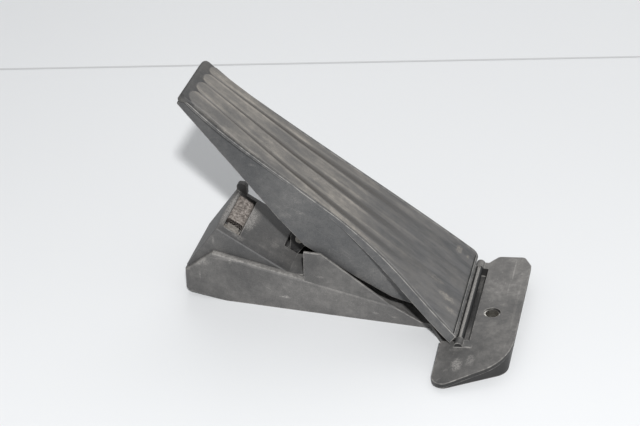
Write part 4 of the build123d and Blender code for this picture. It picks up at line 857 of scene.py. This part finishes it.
def block_mesh():
    """The stop block with soft corners and a matted, lumpy top."""
    low_u, high_u, low_y, high_y, top = block_frame()
    rows = np.linspace(low_u, high_u, int((high_u - low_u) / BLOCK_STEP))
    columns = np.linspace(low_y, high_y, int((high_y - low_y) / BLOCK_STEP))
    mesh = bmesh.new()
    grid = []
    for u in rows:
        row = []
        for y in columns:
            edge = min(u - low_u, high_u - u, y - low_y, high_y - y)
            inward = min(max(1.0 - edge / BLOCK_CORNER, 0.0), 1.0)
            lump = noise.fractal(Vector((u, y, 0.0)) * LUMP_SCALE, 1.0, 2.0, 4)
            weave = sin(u * WEAVE_ALONG) * sin(y * WEAVE_ACROSS)
            dip = BLOCK_DIP + BLOCK_LUMP * (0.5 - LUMP_SHARE * lump - WEAVE_SHARE * weave)
            fall = BLOCK_CORNER * (1 - sqrt(1 - inward ** 2))
            row.append(mesh.verts.new(slope_point(u, y, top - dip - fall)))
        grid.append(row)
    down = slope_point(0.0, 0.0, -BLOCK_SINK)
    lowered = [mesh.verts.new(vert.co + down) for vert in grid_border(grid)]
    return closed_sheet("stop_block", mesh, grid, lowered)


def new_tree(name, inputs):
    """A geometry node tree with named sizes as its inputs, and the outputs that give them."""
    tree = bpy.data.node_groups.new(name, "GeometryNodeTree")
    tree.interface.new_socket("Geometry", in_out="INPUT", socket_type="NodeSocketGeometry")
    for label, size in inputs:
        socket = tree.interface.new_socket(label, in_out="INPUT", socket_type="NodeSocketFloat")
        socket.default_value = size
    tree.interface.new_socket("Geometry", in_out="OUTPUT", socket_type="NodeSocketGeometry")
    return tree, tree.nodes.new("NodeGroupInput").outputs


def end_tree(tree, geometry, material):
    """End a node tree with real geometry that has its material."""
    real = tree.nodes.new("GeometryNodeRealizeInstances")
    finish = tree.nodes.new("GeometryNodeSetMaterial")
    finish.inputs["Material"].default_value = material
    output = tree.nodes.new("NodeGroupOutput")
    tree.links.new(geometry, real.inputs[0])
    tree.links.new(real.outputs[0], finish.inputs["Geometry"])
    tree.links.new(finish.outputs[0], output.inputs[0])


def fibre_tree(material):
    """A node tree that lays short fibres over a surface and keeps the surface."""
    tree, sizes = new_tree("lint_fibres", FIBRE_INPUTS)
    add = tree.nodes.new
    join = tree.links.new
    points = add("GeometryNodeDistributePointsOnFaces")
    points.inputs["Seed"].default_value = 11
    join(sizes["Geometry"], points.inputs["Mesh"])
    join(sizes["Density"], points.inputs["Density"])
    fibre = add("GeometryNodeMeshCylinder")
    fibre.fill_type = "NONE"
    fibre.inputs["Vertices"].default_value = 4
    join(sizes["Fibre radius"], fibre.inputs["Radius"])
    join(sizes["Fibre length"], fibre.inputs["Depth"])
    lean = add("FunctionNodeRandomValue")
    lean.data_type = "FLOAT_VECTOR"
    lean.inputs["Min"].default_value = (1.1, 0.0, -pi)
    lean.inputs["Max"].default_value = (1.9, 0.0, pi)
    lean.inputs["Seed"].default_value = 5
    spread = add("GeometryNodeInstanceOnPoints")
    join(points.outputs["Points"], spread.inputs["Points"])
    join(fibre.outputs["Mesh"], spread.inputs["Instance"])
    join(lean.outputs["Value"], spread.inputs["Rotation"])
    whole = add("GeometryNodeJoinGeometry")
    join(sizes["Geometry"], whole.inputs[0])
    join(spread.outputs[0], whole.inputs[0])
    end_tree(tree, whole.outputs[0], material)
    return tree


def grown(name, mesh, tree, values):
    """The mesh that a node tree makes of another one, with some of its inputs set."""
    carrier = bpy.data.objects.new(name + "_base", mesh)
    bpy.context.scene.collection.objects.link(carrier)
    modifier = carrier.modifiers.new(name, "NODES")
    modifier.node_group = tree
    for item in tree.interface.items_tree:
        if item.in_out == "INPUT" and item.name in values:
            modifier[item.identifier] = float(values[item.name])
    evaluated = carrier.evaluated_get(bpy.context.evaluated_depsgraph_get())
    made = bpy.data.meshes.new_from_object(evaluated)
    bpy.data.objects.remove(carrier)
    if not made.polygons:
        raise RuntimeError(name + " came out empty")
    return made


class PEDAL_OT_stop(bpy.types.Operator):
    """Make the matted stop block and finish its catch"""
    bl_idname = "pedal.stop"
    bl_label = "Full-travel stop"

    def execute(self, context):
        lint = matted_lint("matted_dust", LINT_PALE, LINT_DEEP)
        mesh = grown("stop_lint", block_mesh(), fibre_tree(lint), dict(FIBRE_INPUTS))
        new_piece("stop_lint", mesh, lint, "base", "stop_buffer")
        dress(matted_lint("dusty_catch", CATCH_PALE, CATCH_DEEP), "buffer_clip")
        return {"FINISHED"}


# Metal and small parts

class PEDAL_OT_metal(bpy.types.Operator):
    """Finish pins, sleeve, shaft, springs and bushes"""
    bl_idname = "pedal.metal"
    bl_label = "Metal parts"

    def execute(self, context):
        steel = worn_steel("sleeve_steel", (0.62, 0.60, 0.56), 0.32)
        dress(steel, "foot_sleeve", "hinge_pin", "lever_shaft", "roller_pin")
        dress(worn_steel("spring_wire", (0.33, 0.32, 0.31), 0.4), "return_spring_near", "return_spring_far")
        dress(worn_steel("bush_bronze", (0.55, 0.38, 0.18), 0.4), "shaft_bush_near", "shaft_bush_far")
        return {"FINISHED"}


class PEDAL_OT_sensor(bpy.types.Operator):
    """Finish the sensor's small parts, the roller and the rubber pieces"""
    bl_idname = "pedal.sensor"
    bl_label = "Sensor parts"

    def execute(self, context):
        dress(small_part("natural_nylon", (0.62, 0.59, 0.52), 0.45), "drive_roller", "friction_washer")
        dress(small_part("black_rubber", (0.02, 0.02, 0.02), 0.8), "rest_buffer", "lid_seal")
        dress(small_part("magnet_grey", (0.10, 0.10, 0.105), 0.5, 0.6), "sensor_magnet")
        dress(small_part("board_green", (0.02, 0.13, 0.06), 0.35), "sensor_board")
        dress(small_part("chip_black", (0.02, 0.02, 0.021), 0.4), "sensor_chip")
        dress(small_part("tinned_brass", (0.66, 0.58, 0.38), 0.3, 1.0), "connector_pins")
        return {"FINISHED"}


# Screws

HEAD_HEIGHT = 0.0016
HEAD_TAPER = 0.86
RECESS_REACH = 1.1
SCREW_INPUTS = (
    ("Head radius", 0.0027),
    ("Head height", HEAD_HEIGHT),
    ("Shank radius", 0.0013),
    ("Shank length", 0.0055),
    ("Recess", 0.0007),
)


def screw_tree(material, turn):
    """A node tree that puts a cross-recessed screw on every point."""
    tree, sizes = new_tree("screws_on_points", SCREW_INPUTS)
    add = tree.nodes.new
    join = tree.links.new

    def share_of(length, share):
        """A length times a number."""
        node = add("ShaderNodeMath")
        node.operation = "MULTIPLY"
        join(length, node.inputs[0])
        node.inputs[1].default_value = share
        return node.outputs[0]

    def lifted(geometry, height):
        """A geometry moved along its own Z."""
        offset = add("ShaderNodeCombineXYZ")
        join(height, offset.inputs["Z"])
        move = add("GeometryNodeTransform")
        join(geometry, move.inputs["Geometry"])
        join(offset.outputs[0], move.inputs["Translation"])
        return move.outputs[0]

    head = add("GeometryNodeMeshCone")
    head.inputs["Vertices"].default_value = 24
    head.inputs["Side Segments"].default_value = 2
    join(sizes["Head radius"], head.inputs["Radius Bottom"])
    join(share_of(sizes["Head radius"], HEAD_TAPER), head.inputs["Radius Top"])
    join(sizes["Head height"], head.inputs["Depth"])
    shank = add("GeometryNodeMeshCylinder")
    shank.inputs["Vertices"].default_value = 16
    join(sizes["Shank radius"], shank.inputs["Radius"])
    join(sizes["Shank length"], shank.inputs["Depth"])
    below = lifted(shank.outputs["Mesh"], share_of(sizes["Shank length"], -0.5))
    bars = add("GeometryNodeJoinGeometry")
    long_side = share_of(sizes["Head radius"], RECESS_REACH)
    for sides in ((long_side, sizes["Recess"]), (sizes["Recess"], long_side)):
        size = add("ShaderNodeCombineXYZ")
        join(sides[0], size.inputs["X"])
        join(sides[1], size.inputs["Y"])
        join(sizes["Head height"], size.inputs["Z"])
        bar = add("GeometryNodeMeshCube")
        join(size.outputs[0], bar.inputs["Size"])
        join(lifted(bar.outputs["Mesh"], sizes["Head height"]), bars.inputs[0])
    cut = add("GeometryNodeMeshBoolean")
    cut.operation = "DIFFERENCE"
    join(head.outputs["Mesh"], cut.inputs["Mesh 1"])
    join(bars.outputs[0], cut.inputs["Mesh 2"])
    whole = add("GeometryNodeJoinGeometry")
    join(cut.outputs["Mesh"], whole.inputs[0])
    join(below, whole.inputs[0])
    spread = add("GeometryNodeInstanceOnPoints")
    spread.inputs["Rotation"].default_value = turn
    join(sizes["Geometry"], spread.inputs["Points"])
    join(whole.outputs[0], spread.inputs["Instance"])
    end_tree(tree, spread.outputs[0], material)
    return tree


def solid_boxes(node):
    """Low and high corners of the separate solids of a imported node, in the order of its points."""
    copy = bmesh.new()
    copy.from_mesh(frame["nodes"][node].data)
    bmesh.ops.remove_doubles(copy, verts=copy.verts, dist=1e-6)
    seen = set()
    boxes = []
    for first in copy.verts:
        if first in seen:
            continue
        seen.add(first)
        stack = [first]
        group = []
        while stack:
            vert = stack.pop()
            group.append(vert.co.copy())
            for edge in vert.link_edges:
                other = edge.other_vert(vert)
                if other not in seen:
                    seen.add(other)
                    stack.append(other)
        points = np.array(group)
        boxes.append((points.min(axis=0), points.max(axis=0)))
    copy.free()
    return boxes


def screw_piece(name, node, axis, side, material, turn):
    """One set of screws in place of its plain solids; side is 1 where the head is at the high end."""
    boxes = solid_boxes(node)
    low, high = boxes[0]
    head_r = (high - low)[(axis + 1) % 3] / 2
    length = (high - low)[axis]
    points = []
    for low, high in boxes:
        centre = (low + high) / 2
        centre[axis] = high[axis] - HEAD_HEIGHT if side > 0 else low[axis] + HEAD_HEIGHT
        points.append(tuple(centre))
    mesh = bpy.data.meshes.new(name + "_points")
    mesh.from_pydata(points, [], [])
    values = {"Head radius": head_r, "Head height": HEAD_HEIGHT, "Shank length": length - HEAD_HEIGHT}
    made = grown(name, mesh, screw_tree(material, turn), values)
    new_piece(name, made, material, "base", node)


class PEDAL_OT_screws(bpy.types.Operator):
    """Make the cross-recessed screws of the lid and the cover"""
    bl_idname = "pedal.screws"
    bl_label = "Screws"

    def execute(self, context):
        steel = worn_steel("screw_steel", (0.5, 0.49, 0.46), 0.35)
        screw_piece("lid_screw_set", "lid_screws", 1, 1, steel, (-pi / 2, 0.0, 0.0))
        screw_piece("cover_screw_set", "cover_screws", 2, -1, steel, (pi, 0.0, 0.0))
        return {"FINISHED"}


# Stage

CAMERA_PLACE = (0.09104, -0.82381, 0.610385)
CAMERA_TURN = (57.5679, 0.4587, 13.6483)
SENSOR_WIDTH = 36.0
KEY_PLACE = (0.40, -1.60, 1.50)
KEY_SIZE = 0.10
BACK_PLACE = (-0.10, 1.80, 1.20)
BACK_SIZE = 2.0
ROOM_COLOUR = (0.97, 0.985, 1.0, 1.0)
LIGHT_TARGET = (-0.1, 0.02, 0.05)
EDGE_LEFT = (-0.4567, 0.2668)
EDGE_RIGHT = (0.0667, 0.4090)
FLOOR_REACH = 6.0
LINE_WIDTH = 0.0026
LINE_LIFT = 0.0002
LINE_COLOUR = (0.60, 0.605, 0.61)


def soft_light(name, place, power, size):
    """A square light that looks at the object."""
    light = bpy.data.lights.new(name, "AREA")
    light.energy = power
    light.size = size
    lamp = bpy.data.objects.new(name, light)
    lamp.visible_camera = False
    bpy.context.scene.collection.objects.link(lamp)
    lamp.location = Vector(place)
    lamp.rotation_euler = (Vector(LIGHT_TARGET) - lamp.location).to_track_quat("-Z", "Y").to_euler()


def table_material(name, colour):
    """Smooth pale table top with a trace of gloss."""
    g = Graph(name, roughness=0.45, specular=0.25)
    cloud = g.noise(g.add("ShaderNodeTexCoord").outputs["Object"], 0.6, 3.0)
    tone = g.mix(g.remap(cloud, 0.3, 0.7), shaded(colour, 0.99), colour)
    g.feed(g.shader.inputs["Base Color"], tone)
    return g.material


def stage_sheet(name, corners, material):
    """One flat sheet of the stage."""
    mesh = bpy.data.meshes.new(name)
    mesh.from_pydata(corners, [], [tuple(range(len(corners)))])
    mesh.materials.append(material)
    sheet = bpy.data.objects.new(name, mesh)
    bpy.context.scene.collection.objects.link(sheet)


class PEDAL_OT_stage(bpy.types.Operator):
    """Set up the table, the light and the camera"""
    bl_idname = "pedal.stage"
    bl_label = "Stage"

    def execute(self, context):
        scene = context.scene
        settings = scene.pedal_stage
        signs = ((-1, -1), (1, -1), (1, 1), (-1, 1))
        floor = [(sx * FLOOR_REACH, sy * FLOOR_REACH, 0.0) for sx, sy in signs]
        stage_sheet("table", floor, table_material("pale_table", tuple(settings.table)))
        left = Vector((*EDGE_LEFT, LINE_LIFT))
        run = (Vector((*EDGE_RIGHT, LINE_LIFT)) - left).normalized()
        across = Vector((-run.y, run.x, 0.0)) * LINE_WIDTH
        ends = (left - run * FLOOR_REACH / 2, left + run * FLOOR_REACH / 2)
        line = [ends[0], ends[1], ends[1] + across, ends[0] + across]
        stage_sheet("table_edge", line, table_material("table_edge", LINE_COLOUR))
        world = bpy.data.worlds.new("soft_room")
        world.use_nodes = True
        background = world.node_tree.nodes["Background"]
        background.inputs["Color"].default_value = ROOM_COLOUR
        background.inputs["Strength"].default_value = settings.fill
        scene.world = world
        soft_light("key", KEY_PLACE, settings.key_power, KEY_SIZE)
        soft_light("back", BACK_PLACE, settings.back_power, BACK_SIZE)
        data = bpy.data.cameras.new("camera")
        data.lens = settings.lens
        data.sensor_width = SENSOR_WIDTH
        camera = bpy.data.objects.new("camera", data)
        scene.collection.objects.link(camera)
        camera.location = CAMERA_PLACE
        camera.rotation_euler = [radians(a) for a in CAMERA_TURN]
        scene.camera = camera
        scene.view_settings.view_transform = "Standard"
        return {"FINISHED"}


# Panel and registration

STEPS = ("tread", "bodies", "stop", "metal", "sensor", "screws", "stage")


class PEDAL_PT_sidebar(bpy.types.Panel):
    """Lists the pedal's steps and their settings"""
    bl_idname = "PEDAL_PT_sidebar"
    bl_label = "Pedal"
    bl_space_type = "VIEW_3D"
    bl_region_type = "UI"
    bl_category = "Pedal"

    def draw(self, context):
        for step in STEPS:
            self.layout.operator("pedal." + step)
        for group in (context.scene.pedal_tread, context.scene.pedal_finish, context.scene.pedal_stage):
            for key in group.bl_rna.properties.keys():
                if key not in ("rna_type", "name"):
                    self.layout.prop(group, key)


CLASSES = (
    TreadSettings, FinishSettings, StageSettings,
    PEDAL_OT_tread, PEDAL_OT_bodies, PEDAL_OT_stop, PEDAL_OT_metal, PEDAL_OT_sensor, PEDAL_OT_screws,
    PEDAL_OT_stage, PEDAL_PT_sidebar,
)
GROUPS = {"pedal_tread": TreadSettings, "pedal_finish": FinishSettings, "pedal_stage": StageSettings}


def register():
    """Make the classes and the settings known to Blender."""
    for cls in CLASSES:
        bpy.utils.register_class(cls)
    for key, group in GROUPS.items():
        setattr(bpy.types.Scene, key, PointerProperty(type=group))


def unregister():
    """Take the classes and the settings away again."""
    for key in GROUPS:
        delattr(bpy.types.Scene, key)
    for cls in reversed(CLASSES):
        bpy.utils.unregister_class(cls)


def main():
    """Run every step in order."""
    register()
    for step in STEPS:
        getattr(bpy.ops.pedal, step)()


if __name__ == "__main__":
    main()
